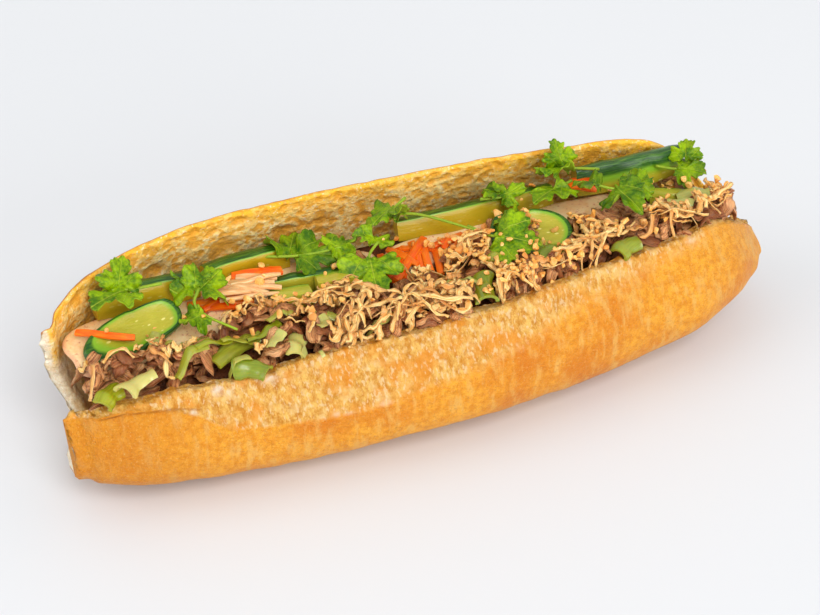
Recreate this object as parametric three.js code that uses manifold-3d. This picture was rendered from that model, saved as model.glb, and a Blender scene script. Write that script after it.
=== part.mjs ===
// A filled Vietnamese roll, in millimetres: a long crusty loaf split along its top and opened like a book, with
// pork roll slices, cucumber, carrot and daikon shreds, sliced beef, spring onion, fried shallots, crushed peanuts
// and coriander sprigs. +X runs along the loaf, -Y faces the open side and +Z is up. The origin is on the flat
// foot of the loaf, under its middle.
import * as THREE from "three";
import { mergeVertices } from "three/addons/utils/BufferGeometryUtils.js";
import Module from "manifold-3d";

const wasm = await Module();
wasm.setup();

const HALF = 140; // half the loaf's length
const END_ROUND = 5; // length over which the bread's cut edge is rounded at the two tips
const END_SHARE = 0.3; // share of the wall that this rounding takes off each side
const CRUST_LEDGE = 0.12; // depth of the torn split beside the front rim, as a share of the wall
const CLEAR = 1.1; // the heap inside starts this share of a wall in from the crust
const FULL_WIDTH = 46; // where the rims are closer together than this, the wall is thinner
const FINEST = 0.15; // where small pieces are joined, edges that depart less than this are merged

// The loaf's section at seven places: its two rims, its foot and how far that lifts, and how far the crust bellies
// out beyond each rim.
const stations = [
  { x: -140, frontY: -22, frontZ: 41, backY: 3, backZ: 61, footA: -14, footB: 14, lift: 11, bellyA: 5, bellyB: 8 },
  { x: -118, frontY: -29, frontZ: 45, backY: 19, backZ: 66.5, footA: -20, footB: 20, lift: 7, bellyA: 7, bellyB: 8 },
  { x: -75, frontY: -35, frontZ: 47, backY: 29, backZ: 69.5, footA: -24, footB: 24, lift: 2, bellyA: 8, bellyB: 10 },
  { x: 0, frontY: -41, frontZ: 50, backY: 28, backZ: 68.5, footA: -26, footB: 26, lift: 0, bellyA: 11, bellyB: 12 },
  { x: 70, frontY: -37, frontZ: 52, backY: 23, backZ: 65.5, footA: -25, footB: 25, lift: 2, bellyA: 10, bellyB: 11 },
  { x: 112, frontY: -30, frontZ: 50, backY: 16, backZ: 60.5, footA: -17, footB: 18, lift: 10, bellyA: 12, bellyB: 8 },
  { x: 140, frontY: -12, frontZ: 31, backY: 6, backZ: 36, footA: -6, footB: 4, lift: 19, bellyA: 6, bellyB: 3 },
];
// Heights of the heap inside, along its crest and behind that, under the cucumber.
const heapHeights = [
  { x: -140, crest: 38, behind: 40 },
  { x: -118, crest: 45, behind: 46 },
  { x: -75, crest: 48, behind: 47 },
  { x: 0, crest: 49, behind: 42 },
  { x: 70, crest: 49, behind: 41 },
  { x: 112, crest: 46, behind: 38 },
  { x: 140, crest: 34, behind: 30 },
];
const FLAT_LIFT = 1; // lifts smaller than this are the flat foot itself

// ---- shapes -------------------------------------------------------------------------------------------------

const clamp = (value, low, high) => Math.min(high, Math.max(low, value));
const mix = (a, b, share) => a + (b - a) * share;
const smooth = (value) => value * value * (3 - 2 * value);

// Seeded random numbers between low and high.
function dice(seed) {
  let state = seed;
  return (low, high) => {
    state = (state * 1664525 + 1013904223) % 4294967296;
    return mix(low, high, state / 4294967296);
  };
}

function solidOf(geometry) {
  const loose = geometry.index ? geometry.toNonIndexed() : geometry;
  const bare = new THREE.BufferGeometry().setAttribute("position", loose.getAttribute("position"));
  const merged = mergeVertices(bare, 1e-4);
  const vertProperties = merged.attributes.position.array;
  const triVerts = new Uint32Array(merged.index.array);
  return new wasm.Manifold(new wasm.Mesh({ numProp: 3, vertProperties, triVerts }));
}

function geometryOf(solid) {
  const mesh = solid.getMesh();
  return new THREE.BufferGeometry()
    .setAttribute("position", new THREE.BufferAttribute(mesh.vertProperties, 3))
    .setIndex(new THREE.BufferAttribute(mesh.triVerts, 1));
}

// Closed body through rings of points; an outline is the flat shape that closes each end.
function loft(rings, startOutline, endOutline = startOutline) {
  const count = rings[0].length;
  const faces = [];
  for (let i = 0; i + 1 < rings.length; i++) {
    for (let j = 0; j < count; j++) {
      const a = i * count + j;
      const b = i * count + ((j + 1) % count);
      faces.push(a, b, b + count, a, b + count, a + count);
    }
  }
  const last = (rings.length - 1) * count;
  for (const [a, b, c] of THREE.ShapeUtils.triangulateShape(startOutline, [])) faces.push(a, c, b);
  for (const [a, b, c] of THREE.ShapeUtils.triangulateShape(endOutline, [])) faces.push(last + a, last + b, last + c);
  const geometry = new THREE.BufferGeometry().setFromPoints(rings.flat());
  geometry.setIndex(faces);
  return solidOf(geometry);
}

// Sweeps a flat section along a curve; swell(t) scales it and twist(t) turns it.
function sweep(section, curve, steps, { up = new THREE.Vector3(0, 0, 1), swell = () => 1, twist = () => 0 } = {}) {
  const rings = [];
  for (let i = 0; i <= steps; i++) {
    const t = i / steps;
    const centre = curve.getPoint(t);
    const ahead = curve.getTangent(t);
    const side = new THREE.Vector3().crossVectors(up, ahead).normalize();
    const over = new THREE.Vector3().crossVectors(ahead, side);
    const turned = section.map((p) => p.clone().rotateAround(new THREE.Vector2(), twist(t)).multiplyScalar(swell(t)));
    rings.push(turned.map((p) => centre.clone().addScaledVector(side, p.x).addScaledVector(over, p.y)));
  }
  return loft(rings, section);
}

// Regular section with some sides, width and height.
function roundSection(sides, width, height) {
  return Array.from({ length: sides }, (_, i) => {
    const angle = ((i + 0.5) / sides) * 2 * Math.PI;
    return new THREE.Vector2((Math.cos(angle) * width) / 2, (Math.sin(angle) * height) / 2);
  });
}

function placed(solid, { x = 0, y = 0, z = 0, turn = 0, tilt = 0, roll = 0 }) {
  return solid.rotate([roll, tilt, turn]).translate([x, y, z]);
}

// ---- the loaf -----------------------------------------------------------------------------------------------

// The dimensions in a table of stations at any x, smoothly between its rows.
function sizesAt(rows, x) {
  const last = rows.length - 2;
  const found = rows.findIndex((row) => row.x > x) - 1;
  const i = found < 0 ? last : Math.min(found, last);
  const [from, to] = [rows[i], rows[i + 1]];
  const [before, after] = [rows[Math.max(i - 1, 0)], rows[Math.min(i + 2, last + 1)]];
  const span = to.x - from.x;
  const s = (x - from.x) / span;
  const size = {};
  for (const key of Object.keys(from)) {
    const leave = (span * (to[key] - before[key])) / (to.x - before.x);
    const reach = (span * (after[key] - from[key])) / (after.x - from.x);
    size[key] =
      (2 * s ** 3 - 3 * s ** 2 + 1) * from[key] +
      (s ** 3 - 2 * s ** 2 + s) * leave +
      (3 * s ** 2 - 2 * s ** 3) * to[key] +
      (s ** 3 - s ** 2) * reach;
  }
  return size;
}

// How far in the wall's inside lies from the same place on the crust, from the front rim round to the back rim.
const wallInset = [
  [6.5, -1.5],
  [7.5, 0],
  [8.5, 3.5],
  [7, 9.5],
  [0, 12],
  [-8, 9],
  [-10, 4],
  [-8, 0],
  [-2.5, -0.5],
];

// The loaf's section at x: its crust and its inside, both from the front rim round the foot to the back rim.
function sectionAt(x) {
  const d = sizesAt(stations, x);
  const lift = Math.max(0, d.lift - FLAT_LIFT);
  const front = (share) => mix(lift, d.frontZ, share);
  const back = (share) => mix(lift, d.backZ, share);
  const crust = [
    [d.frontY, d.frontZ],
    [d.frontY - d.bellyA, front(0.6)],
    [d.frontY - d.bellyA * 0.75, front(0.24)],
    [d.footA, lift],
    [(d.footA + d.footB) / 2, lift],
    [d.footB, lift],
    [d.backY + d.bellyB * 0.75, back(0.22)],
    [d.backY + d.bellyB, back(0.55)],
    [d.backY, d.backZ],
  ];
  const thin = clamp((d.backY - d.frontY) / FULL_WIDTH, 0.45, 1);
  const inside = crust.map(([y, z], i) => [y + wallInset[i][0] * thin, z + wallInset[i][1] * thin]);
  const at = (points) => points.map(([y, z]) => new THREE.Vector3(x, y, z));
  const curve = (points) => new THREE.CatmullRomCurve3(at(points), false, "catmullrom");
  return { crust: curve(crust), inside: curve(inside), lift };
}

// Point of the section at share s from front rim to back rim, and some share of the wall in from the crust.
function sectionPoint({ crust, inside, lift }, s, depth) {
  const point = crust.getPoint(s);
  point.z = Math.max(point.z, lift);
  return point.lerp(inside.getPoint(s), depth);
}

// The tips are split by the knife, so the bread there draws back, most of all low down behind.
function tipDrawn(x, s) {
  const left = 10 * Math.exp(-(((s - 0.66) / 0.2) ** 2)) * smooth(clamp((-HALF + 45 - x) / 45, 0, 1));
  const right = 7 * smooth(clamp((s - 0.5) / 0.5, 0, 1)) * smooth(clamp((x - HALF + 45) / 45, 0, 1));
  return x + left - right;
}

// The torn split of the crust runs along the front rim; this is the share of the section that it reaches to.
const splitReach = (x) => 0.17 * clamp(Math.min((x + 108) / 40, (125 - x) / 110), 0, 1);

const SECTION_STEPS = 24; // steps of the section from rim to rim
const middlePlaces = Array.from({ length: 24 }, (_, i) => mix(-130, 127, i / 23));

function bread() {
  const places = [-HALF, -HALF + 1.2, -HALF + END_ROUND, ...middlePlaces, HALF - END_ROUND, HALF - 1.2, HALF];
  const rings = [];
  const outlines = [];
  for (const x of places) {
    const at = sectionAt(x);
    const tip = clamp(1 - (HALF - Math.abs(x)) / END_ROUND, 0, 1);
    const rounding = END_SHARE * (1 - Math.sqrt(1 - tip ** 2));
    const section = [];
    for (let j = 0; j <= SECTION_STEPS; j++) {
      const s = j / SECTION_STEPS;
      const torn = s < splitReach(x) ? CRUST_LEDGE * (0.8 + 0.4 * Math.sin(x * 0.9 + j * 2.1)) : 0;
      section.push({ s, point: sectionPoint(at, s, rounding + torn) });
    }
    for (let j = SECTION_STEPS; j >= 0; j--) {
      const s = j / SECTION_STEPS;
      const cells = s > 0.85 ? 0.07 * Math.sin(x * 0.45 + s * 60) : 0;
      section.push({ s, point: sectionPoint(at, s, 1 - rounding - cells) });
    }
    rings.push(section.map(({ s, point }) => point.setX(tipDrawn(x, s))));
    outlines.push(section.map(({ point }) => new THREE.Vector2(point.y, point.z)));
  }
  return loft(rings, outlines[0], outlines.at(-1));
}

// ---- the heap of beef, shallots and peanuts -----------------------------------------------------------------

const HEAP_FROM = middlePlaces[0];
const HEAP_TO = middlePlaces.at(-1);
const HEAP_FRONT = 1; // steps of the bread's inside that the heap reaches between
const HEAP_BACK = 21;
const HEAP_CREST = 0.36; // how far across the heap its crest runs, from the front
const HEAP_BEHIND = 0.74;

// Front and back edges of the heap's top at x.
function heapEdges(x) {
  const at = sectionAt(x);
  const edge = (step) => sectionPoint(at, step / SECTION_STEPS, CLEAR);
  return { at, edge, front: edge(HEAP_FRONT), back: edge(HEAP_BACK) };
}

// Height of the bare heap at a place.
function heapTop(x, y) {
  const { front, back } = heapEdges(clamp(x, HEAP_FROM, HEAP_TO));
  const { crest, behind } = sizesAt(heapHeights, x);
  const across = clamp((y - front.y) / (back.y - front.y), 0, 1);
  if (across < HEAP_CREST) return mix(front.z, crest, smooth(across / HEAP_CREST));
  if (across < HEAP_BEHIND) return mix(crest, behind, smooth((across - HEAP_CREST) / (HEAP_BEHIND - HEAP_CREST)));
  return mix(behind, back.z, ((across - HEAP_BEHIND) / (1 - HEAP_BEHIND)) ** 2);
}

function heapCore() {
  const upper = 7;
  const rings = [];
  for (const x of middlePlaces) {
    const { edge, front, back } = heapEdges(x);
    const ring = [];
    for (let j = HEAP_FRONT; j <= HEAP_BACK; j++) ring.push(edge(j).setX(tipDrawn(x, j / SECTION_STEPS)));
    for (let j = 1; j < upper; j++) {
      const y = mix(back.y, front.y, j / upper);
      const s = mix(HEAP_BACK, HEAP_FRONT, j / upper) / SECTION_STEPS;
      ring.push(new THREE.Vector3(tipDrawn(x, s), y, heapTop(x, y)));
    }
    rings.push(ring);
  }
  const outline = (ring) => ring.map((p) => new THREE.Vector2(p.y, p.z));
  return loft(rings, outline(rings[0]), outline(rings.at(-1)));
}

// A strip bent into an arc, lying along X about the origin.
function bentStrip(length, bend, section, steps, options) {
  const half = length / 2;
  const ends = [-half, -half / 2, 0, half / 2, half];
  const curve = new THREE.CatmullRomCurve3(ends.map((x) => new THREE.Vector3(x, bend * (1 - (x / half) ** 2), 0)));
  return sweep(section, curve, steps, options);
}

const beefSlice = (roll) =>
  bentStrip(roll(15, 24), roll(-3, 3), roundSection(6, roll(6.5, 9), roll(2.6, 3.6)), 3, {
    swell: (t) => 0.55 + 0.45 * Math.sin(Math.PI * clamp(t, 0.12, 0.88)),
    twist: (t) => 0.9 * (t - 0.5),
  });

const shallotStrip = (roll) => bentStrip(roll(13, 21), roll(-5, 5), roundSection(4, 2.6, 1.5), 4);

const peanutPiece = (roll) => solidOf(new THREE.IcosahedronGeometry(roll(1.7, 2.3), 0)).scale([1.15, 0.9, 0.85]);

// Where each kind lies thickest: along x, across from the front rim, and how many.
const heapKinds = [
  { make: beefSlice, count: 24, x: [-126, 120], across: [0.04, 0.42], rise: 0.9, tilt: 22, seed: 11 },
  { make: shallotStrip, count: 11, x: [-62, 10], across: [0.12, 0.45], rise: 1.2, tilt: 16, seed: 5 },
  { make: shallotStrip, count: 8, x: [60, 116], across: [0.2, 0.6], rise: 1.2, tilt: 16, seed: 8 },
  { make: peanutPiece, count: 16, x: [12, 62], across: [0.1, 0.6], rise: 1, tilt: 40, seed: 3 },
  { make: peanutPiece, count: 9, x: [-125, 120], across: [0.1, 0.6], rise: 1, tilt: 40, seed: 21 },
];

// The pieces of one kind sunk into the bare heap, left out where they would touch anything already placed.
function scatter({ make, count, x: [from, to], across, rise, tilt, seed }, core, taken) {
  const roll = dice(seed);
  const pieces = [];
  for (let i = 0; i < count; i++) {
    const x = mix(from, to, (i + roll(0.1, 0.9)) / count);
    const { front, back } = heapEdges(x);
    const y = mix(front.y, back.y, roll(...across));
    const z = heapTop(x, y) + rise;
    const lie = { x, y, z, turn: roll(-75, 75), tilt: roll(-tilt, tilt), roll: roll(-tilt, tilt) };
    const piece = placed(make(roll), lie);
    const clear = taken.every((other) => piece.intersect(other).isEmpty());
    if (clear && !piece.intersect(core).isEmpty()) pieces.push(piece);
  }
  return pieces;
}

// ---- fillings that are pieces of their own ------------------------------------------------------------------

// Oval slice of pork roll, bent a little over what it lies on.
function porkSlice(length, width) {
  const rings = [];
  const section = roundSection(8, 1, 1);
  const thick = 2.8;
  for (let i = 0; i <= 8; i++) {
    const along = Math.cos(Math.PI * (1 - i / 8));
    const half = Math.max(0.12, (1 - along ** 4) ** 0.4) * width;
    rings.push(
      section.map((p) => {
        const y = p.x * half;
        return new THREE.Vector3((along * length) / 2, y, p.y * thick - 0.004 * y ** 2);
      }),
    );
  }
  return loft(rings, section);
}

// Long cucumber spear: a wedge with the skin over its back and two flat faces of flesh.
function spear(length, height, depth, bend) {
  const section = [
    new THREE.Vector2(-depth * 0.5, -height * 0.5),
    new THREE.Vector2(depth * 0.32, -height * 0.46),
    new THREE.Vector2(depth * 0.5, height * 0.12),
    new THREE.Vector2(depth * 0.3, height * 0.42),
    new THREE.Vector2(-depth * 0.12, height * 0.52),
    new THREE.Vector2(-depth * 0.5, height * 0.46),
  ];
  return bentStrip(length, bend, section, 5, { swell: (t) => 0.86 + 0.14 * Math.sin(Math.PI * t) });
}

// Slice cut lengthwise from a cucumber's end: a long tongue with one rounded end and the skin round its edge.
function tongueSlice(length, width) {
  const section = roundSection(8, 1, 1);
  const thick = 3;
  const rings = [];
  for (let i = 0; i <= 7; i++) {
    const t = i / 7;
    const half = width * Math.max(0.25, Math.sqrt(1 - (1 - clamp(t * 2.6, 0, 1)) ** 2)) * mix(1, 0.82, t);
    const lift = 2 * (t - 0.5) ** 2;
    rings.push(section.map((p) => new THREE.Vector3((t - 0.5) * length, p.x * half, p.y * thick + lift)));
  }
  return loft(rings, section);
}

// Strips fused where they cross. Each strip is [x, y, z] to [x, y, z].
function shreds(strips, size) {
  const pieces = strips.map(([from, to]) => {
    const ends = [new THREE.Vector3(...from), new THREE.Vector3(...to)];
    const middle = ends[0].clone().lerp(ends[1], 0.5).add(new THREE.Vector3(0, 0, 0.8));
    return sweep(roundSection(4, size * 1.2, size), new THREE.QuadraticBezierCurve3(ends[0], middle, ends[1]), 3);
  });
  return wasm.Manifold.union(pieces);
}

// Cut length of spring onion: a piece of split tube.
function onionPiece(length, width) {
  const rim = 1.5;
  const arc = (radius, from, to) =>
    Array.from({ length: 5 }, (_, i) => {
      const angle = mix(from, to, i / 4);
      return new THREE.Vector2(Math.cos(angle) * radius, Math.sin(angle) * radius);
    });
  const outer = arc(width / 2, Math.PI * 0.02, Math.PI * 0.98);
  const inner = arc(width / 2 - rim, Math.PI * 0.98, Math.PI * 0.02);
  return bentStrip(length, length * 0.08, [...outer, ...inner], 3);
}

// ---- coriander ----------------------------------------------------------------------------------------------

const LEAF_THICK = 0.8;
const LEAF_POINTS = 20;

// Outline of a leaf as a share of its size, by the angle from its tip: three lobes with teeth, drawn in at the base.
function leafReach(angle) {
  const lobes = 0.13 * Math.cos(3 * angle);
  const teeth = 0.07 * Math.cos(9 * angle);
  const base = 0.34 * Math.exp(-(((Math.abs(angle) - Math.PI) / 0.5) ** 2));
  return 0.8 + lobes + teeth - base;
}

// Thin wavy leaf: its stalk joins at the origin, and it points along +X.
function leaf(size, curl, wave) {
  const radius = size / 2;
  const middle = radius * (leafReach(Math.PI) - 0.06);
  const sheet = [new THREE.Vector3(middle, 0, 0)];
  for (let i = 0; i < LEAF_POINTS; i++) {
    const angle = (i / LEAF_POINTS) * 2 * Math.PI - Math.PI;
    const reach = radius * leafReach(angle);
    const [x, y] = [middle + Math.cos(angle) * reach, Math.sin(angle) * reach];
    sheet.push(new THREE.Vector3(x, y, curl * (y / radius) ** 2 + wave * Math.sin(4 * angle)));
  }
  const faces = [];
  const below = sheet.length;
  for (let i = 0; i < LEAF_POINTS; i++) {
    const [a, b] = [1 + i, 1 + ((i + 1) % LEAF_POINTS)];
    faces.push(0, a, b, below, b + below, a + below);
    faces.push(a, a + below, b + below, a, b + below, b);
  }
  const under = sheet.map((p) => new THREE.Vector3(p.x, p.y, p.z - LEAF_THICK));
  const geometry = new THREE.BufferGeometry().setFromPoints([...sheet, ...under]);
  geometry.setIndex(faces);
  return solidOf(geometry);
}

// Leaves on one stalk. Each leaf has its size, how far along the stalk it grows, and how it is turned.
function sprig({ leaves, stem }) {
  const curve = new THREE.CatmullRomCurve3(stem.map((p) => new THREE.Vector3(...p)));
  const pieces = leaves.map(({ size, at, curl = -2, wave = 1, ...turns }) => {
    const { x, y, z } = curve.getPoint(at);
    return placed(leaf(size, curl, wave), { x, y, z: z + LEAF_THICK / 2, ...turns });
  });
  pieces.push(sweep(roundSection(4, 1.9, 1.9), curve, 2 * (stem.length - 1)));
  return wasm.Manifold.union(pieces).simplify(FINEST);
}

// ---- what lies where ----------------------------------------------------------------------------------------
// Heights are where a piece starts; each is then lowered onto what is under it.

const layers = [
  { name: "pork_roll_1", kind: "pork", solid: porkSlice(60, 25), x: -102, y: 0, z: 58, turn: 3, roll: 12 },
  { name: "pork_roll_2", kind: "pork", solid: porkSlice(58, 15), x: -42, y: 9, z: 58, turn: -2, roll: 8 },
  { name: "pork_roll_3", kind: "pork", solid: porkSlice(52, 15), x: 15, y: 3, z: 58, turn: -3, roll: 8 },
  { name: "pork_roll_4", kind: "pork", solid: porkSlice(50, 15), x: 70, y: 1, z: 60, turn: -6, roll: 8 },
  { name: "cucumber_1", kind: "cucumber", solid: spear(38, 10, 8, 1), x: -99, y: 12, z: 62, turn: -3, roll: -8 },
  { name: "cucumber_2", kind: "cucumber", solid: spear(32, 9.5, 8, 1), x: -60, y: 17, z: 62, turn: 1, roll: -6 },
  { name: "cucumber_3", kind: "cucumber", solid: spear(28, 6.5, 6, -1), x: -42, y: 3, z: 62, turn: -8, roll: -8 },
  { name: "cucumber_4", kind: "cucumber", solid: spear(14, 8, 11, 0), x: -52, y: -5.5, z: 62, turn: -8, roll: -12 },
  { name: "cucumber_5", kind: "cucumber", solid: spear(62, 9, 8, -2), x: 30, y: 15, z: 60, turn: -3, roll: -16 },
  { name: "cucumber_6", kind: "cucumber", solid: spear(44, 12, 8, -1), x: 93, y: 10, z: 64, turn: -4, roll: -14 },
  { name: "cucumber_7", kind: "cucumber", solid: spear(15, 8, 8, 0), x: 103, y: -6, z: 64, turn: -30, roll: -12 },
  { name: "cucumber_8", kind: "cucumber", solid: spear(13, 6, 8, 0), x: 121, y: -6, z: 60, turn: -38, roll: -14 },
  { name: "cucumber_9", kind: "cucumber", solid: tongueSlice(41, 16), x: -110, y: -4, z: 68, turn: 12, tilt: -6, roll: 28 },
  { name: "cucumber_10", kind: "cucumber", solid: tongueSlice(33, 20), x: 43, y: -9, z: 66, turn: 158, roll: -26 },
  { name: "cucumber_11", kind: "cucumber", solid: spear(13, 7, 9, 0), x: -35.5, y: -6, z: 62, turn: -10, roll: -10 },
];

const carrotBundles = [
  [[[-127, 2, 74], [-111, -8, 74]]],
  [[[-86, 5, 64], [-65, -2, 64]], [[-82, 0, 64], [-68, 1, 64]]],
  [[[-67, 11, 68], [-51, 7, 68]]],
  [
    [[6, 8, 64], [-13, -12, 60]],
    [[-10, 7, 63], [-12, -13, 60]],
    [[1, 7, 63], [-8, -15, 60]],
    [[7, 5, 63], [-1, -15, 60]],
    [[8, 2, 62], [3, -13, 60]],
    [[-13, 2, 61.5], [7, 0, 61.5]],
  ],
  [[[8, 2, 60], [24, -2, 60]], [[13, -5, 60], [22, 2, 60]]],
  [[[67, 9, 66], [75, 4, 66]]],
];
const daikonBundle = [
  [[-75, 8, 64], [-57, 0, 64]],
  [[-75, 5, 64], [-57, -3, 64]],
  [[-74, 0, 64], [-59, 1, 64]],
  [[-70, 8, 64.5], [-61, -4, 64.5]],
];
carrotBundles.forEach((strips, i) => {
  layers.push({ name: `carrot_${i + 1}`, kind: "carrot", solid: shreds(strips, 2.6) });
});
layers.push({ name: "daikon_1", kind: "daikon", solid: shreds(daikonBundle, 2.6) });

const onions = [
  { size: [10, 7], x: -125, y: -23, turn: 35, roll: 20 },
  { size: [13, 8], x: -115.5, y: -26, turn: 20, roll: -20 },
  { size: [22, 6], x: -78, y: -20, turn: 24, roll: 10 },
  { size: [12, 7], x: -78, y: -33, turn: -35, roll: 20 },
  { size: [10, 7], x: -59.5, y: -28, turn: 60, roll: 15 },
  { size: [9, 7], x: -17, y: -22, turn: 10, roll: 0 },
  { size: [14, 7], x: 5, y: -22, turn: -8, roll: 25 },
  { size: [15, 8], x: 11, y: -32, turn: 68, roll: -15 },
  { size: [15, 7], x: 45, y: -23, turn: 6, roll: -10 },
  { size: [11, 7], x: 69, y: -32, turn: 20, roll: 15 },
];
onions.forEach(({ size, ...lie }, i) => {
  layers.push({ name: `spring_onion_${i + 1}`, kind: "onion", solid: onionPiece(...size), z: 60, ...lie });
});

const sprigs = [
  {
    leaves: [
      { size: 19, at: 0.55, turn: 172, roll: 10 },
      { size: 15, at: 0.9, turn: 100, tilt: -40 },
    ],
    stem: [[-97, 3, 72], [-108, 4.5, 72], [-114, 6, 72.5]],
  },
  {
    leaves: [
      { size: 21, at: 0.1, turn: 35, roll: 24 },
      { size: 18, at: 0.03, turn: 110, roll: -10 },
      { size: 14, at: 0.62, turn: -165, tilt: 8 },
    ],
    stem: [[-83, 2, 76], [-87, -4, 75], [-85, -10, 73], [-77, -18, 70]],
  },
  {
    leaves: [
      { size: 20, at: 0.25, turn: 60, roll: 16 },
      { size: 17, at: 0.75, turn: 10, roll: 10 },
      { size: 20, at: 0.35, turn: -22, roll: 20 },
    ],
    stem: [[-52, 16, 69], [-42, 11, 69.5], [-33, 8, 70.5], [-25, 7, 71]],
  },
  {
    leaves: [
      { size: 25, at: 0.6, turn: -105, tilt: 12, curl: -3 },
      { size: 16, at: 0.15, turn: 75, roll: 30 },
    ],
    stem: [[-16, 0, 74], [-21, -4, 73], [-25, -10, 72]],
  },
  {
    leaves: [{ size: 14, at: 0.15, turn: 165, roll: 38 }],
    stem: [[-3, 14, 76], [4, 10, 76], [14, 2, 74], [24, -8, 72]],
  },
  {
    leaves: [{ size: 17, at: 0.45, turn: -155, roll: 20 }],
    stem: [[0, 13, 75], [-6, 10, 74], [-11, 7, 73.5]],
  },
  {
    leaves: [
      { size: 25, at: 0.5, turn: -42, roll: 20, curl: -3 },
      { size: 15, at: 0.95, turn: 30, roll: 10 },
    ],
    stem: [[22, -2, 76], [28, -12, 76], [35, -10, 76.5]],
  },
  {
    leaves: [
      { size: 15, at: 0.5, turn: 10, roll: 20 },
      { size: 13, at: 0.6, turn: 110, roll: 20 },
    ],
    stem: [[31, 10, 76], [38, 8, 76], [44, 9, 76]],
  },
  {
    leaves: [{ size: 21, at: 0.4, turn: -160, roll: 18 }],
    stem: [[65, 5, 80], [58, 3, 80], [50, 1, 79.5]],
  },
  {
    leaves: [
      { size: 19, at: 0.6, turn: 165, roll: 24 },
      { size: 16, at: 0.85, turn: 95, tilt: -50 },
    ],
    stem: [[78, 9, 82], [68, 11, 84], [63, 13, 84.5]],
  },
  {
    leaves: [
      { size: 20, at: 0.5, turn: -80, roll: 18 },
      { size: 16, at: 0.9, turn: 20, roll: 15 },
      { size: 15, at: 0.1, turn: 140, roll: 20 },
    ],
    stem: [[70, -6, 76], [76, -10, 75], [84, -11, 74]],
  },
  {
    leaves: [
      { size: 14, at: 0.95, turn: 60, tilt: -36 },
      { size: 16, at: 0.5, turn: -40, roll: 15 },
    ],
    stem: [[103, 4, 76], [109, -1, 76], [114, 0, 77]],
  },
];
sprigs.forEach((made, i) => {
  layers.push({ name: `coriander_${i + 1}`, kind: "coriander", solid: sprig(made) });
});

// ---- building it up -----------------------------------------------------------------------------------------

// Slides a piece forward off the loaf's back wall, then lowers it until it is just clear of what is under it.
function settle(solid, others) {
  const step = 0.5;
  const touches = (forward, low) => {
    const moved = solid.translate([0, -forward, -low]);
    return others.some((other) => !moved.intersect(other).isEmpty());
  };
  let forward = 0;
  while (forward < 20 && touches(forward, 0)) forward += step;
  let fall = 0;
  while (fall < 40 && !touches(forward, fall + step)) fall += step;
  return solid.translate([0, -forward, -fall]);
}

const colours = {
  bread: { color: 0xd9963f, roughness: 0.62 },
  heap: { color: 0x7a4a34, roughness: 0.55 },
  pork: { color: 0xeab999, roughness: 0.45 },
  cucumber: { color: 0x7fa23a, roughness: 0.35 },
  carrot: { color: 0xe8641b, roughness: 0.4 },
  daikon: { color: 0xf0c9a4, roughness: 0.4 },
  onion: { color: 0xa3ad45, roughness: 0.4 },
  coriander: { color: 0x4f8f23, roughness: 0.5 },
};

const sandwich = new THREE.Group();
function add(name, kind, solid) {
  const material = new THREE.MeshStandardMaterial({ ...colours[kind], metalness: 0 });
  const mesh = new THREE.Mesh(geometryOf(solid), material);
  mesh.name = name;
  sandwich.add(mesh);
}

const loaf = bread();
const core = heapCore();
const resting = [loaf, core];
for (const { name, kind, solid, ...lie } of layers) {
  const lowered = settle(placed(solid, lie), resting);
  resting.push(lowered);
  add(name, kind, lowered);
}

const toppings = resting.slice(2);
const bits = heapKinds.flatMap((kind) => scatter(kind, core, [loaf, ...toppings]));
add("bread", "bread", loaf);
add("beef_heap", "heap", wasm.Manifold.union([core, ...bits]).simplify(FINEST));

export default sandwich;
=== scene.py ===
import math

import bpy
import numpy as np
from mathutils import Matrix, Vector


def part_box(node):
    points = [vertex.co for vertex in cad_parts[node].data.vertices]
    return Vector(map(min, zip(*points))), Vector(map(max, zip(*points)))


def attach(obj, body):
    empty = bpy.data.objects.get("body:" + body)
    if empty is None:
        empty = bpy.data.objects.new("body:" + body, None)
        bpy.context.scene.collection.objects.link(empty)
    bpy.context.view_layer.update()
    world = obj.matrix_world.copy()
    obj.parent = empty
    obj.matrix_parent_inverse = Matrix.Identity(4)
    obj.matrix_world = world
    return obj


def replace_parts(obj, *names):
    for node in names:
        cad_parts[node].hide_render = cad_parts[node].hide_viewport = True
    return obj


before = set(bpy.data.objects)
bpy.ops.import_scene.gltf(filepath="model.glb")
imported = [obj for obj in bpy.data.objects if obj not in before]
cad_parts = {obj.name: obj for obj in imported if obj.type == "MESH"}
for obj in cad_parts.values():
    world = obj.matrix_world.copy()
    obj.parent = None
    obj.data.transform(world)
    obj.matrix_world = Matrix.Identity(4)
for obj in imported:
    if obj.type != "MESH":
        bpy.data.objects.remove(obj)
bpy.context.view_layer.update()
MM = 0.001  # the sizes below are in millimetres


# ---- Camera --------------------------------------------------------------------------------------
# A long lens a little over arm's length away. It stands to the left of the open side and looks down into
# the filling.

camera_turn = math.radians(-25.5)
camera_height = math.radians(36.8)
camera_distance = 0.740
camera_target = Vector((0, 0, 0.030))
camera_away = Vector((
    math.sin(camera_turn) * math.cos(camera_height),
    -math.cos(camera_turn) * math.cos(camera_height),
    math.sin(camera_height),
))
camera_data = bpy.data.cameras.new("camera")
camera_data.lens = 88
camera_data.sensor_width = 36
camera_data.shift_x = -0.0091
camera_data.shift_y = -0.0049
camera = bpy.data.objects.new("camera", camera_data)
camera.rotation_mode = "QUATERNION"
camera.rotation_quaternion = (-camera_away).to_track_quat("-Z", "Y")
camera.location = camera_target + camera_away * camera_distance
bpy.context.scene.collection.objects.link(camera)
bpy.context.scene.camera = camera


# ---- Loaf ----------------------------------------------------------------------------------------
# A crusty wheat loaf, split along its top and both tips and opened at the hinge low behind. Its crust
# is thin and brittle, torn pale along the front rim, and its crumb is full of stretched glossy cells.

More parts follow.
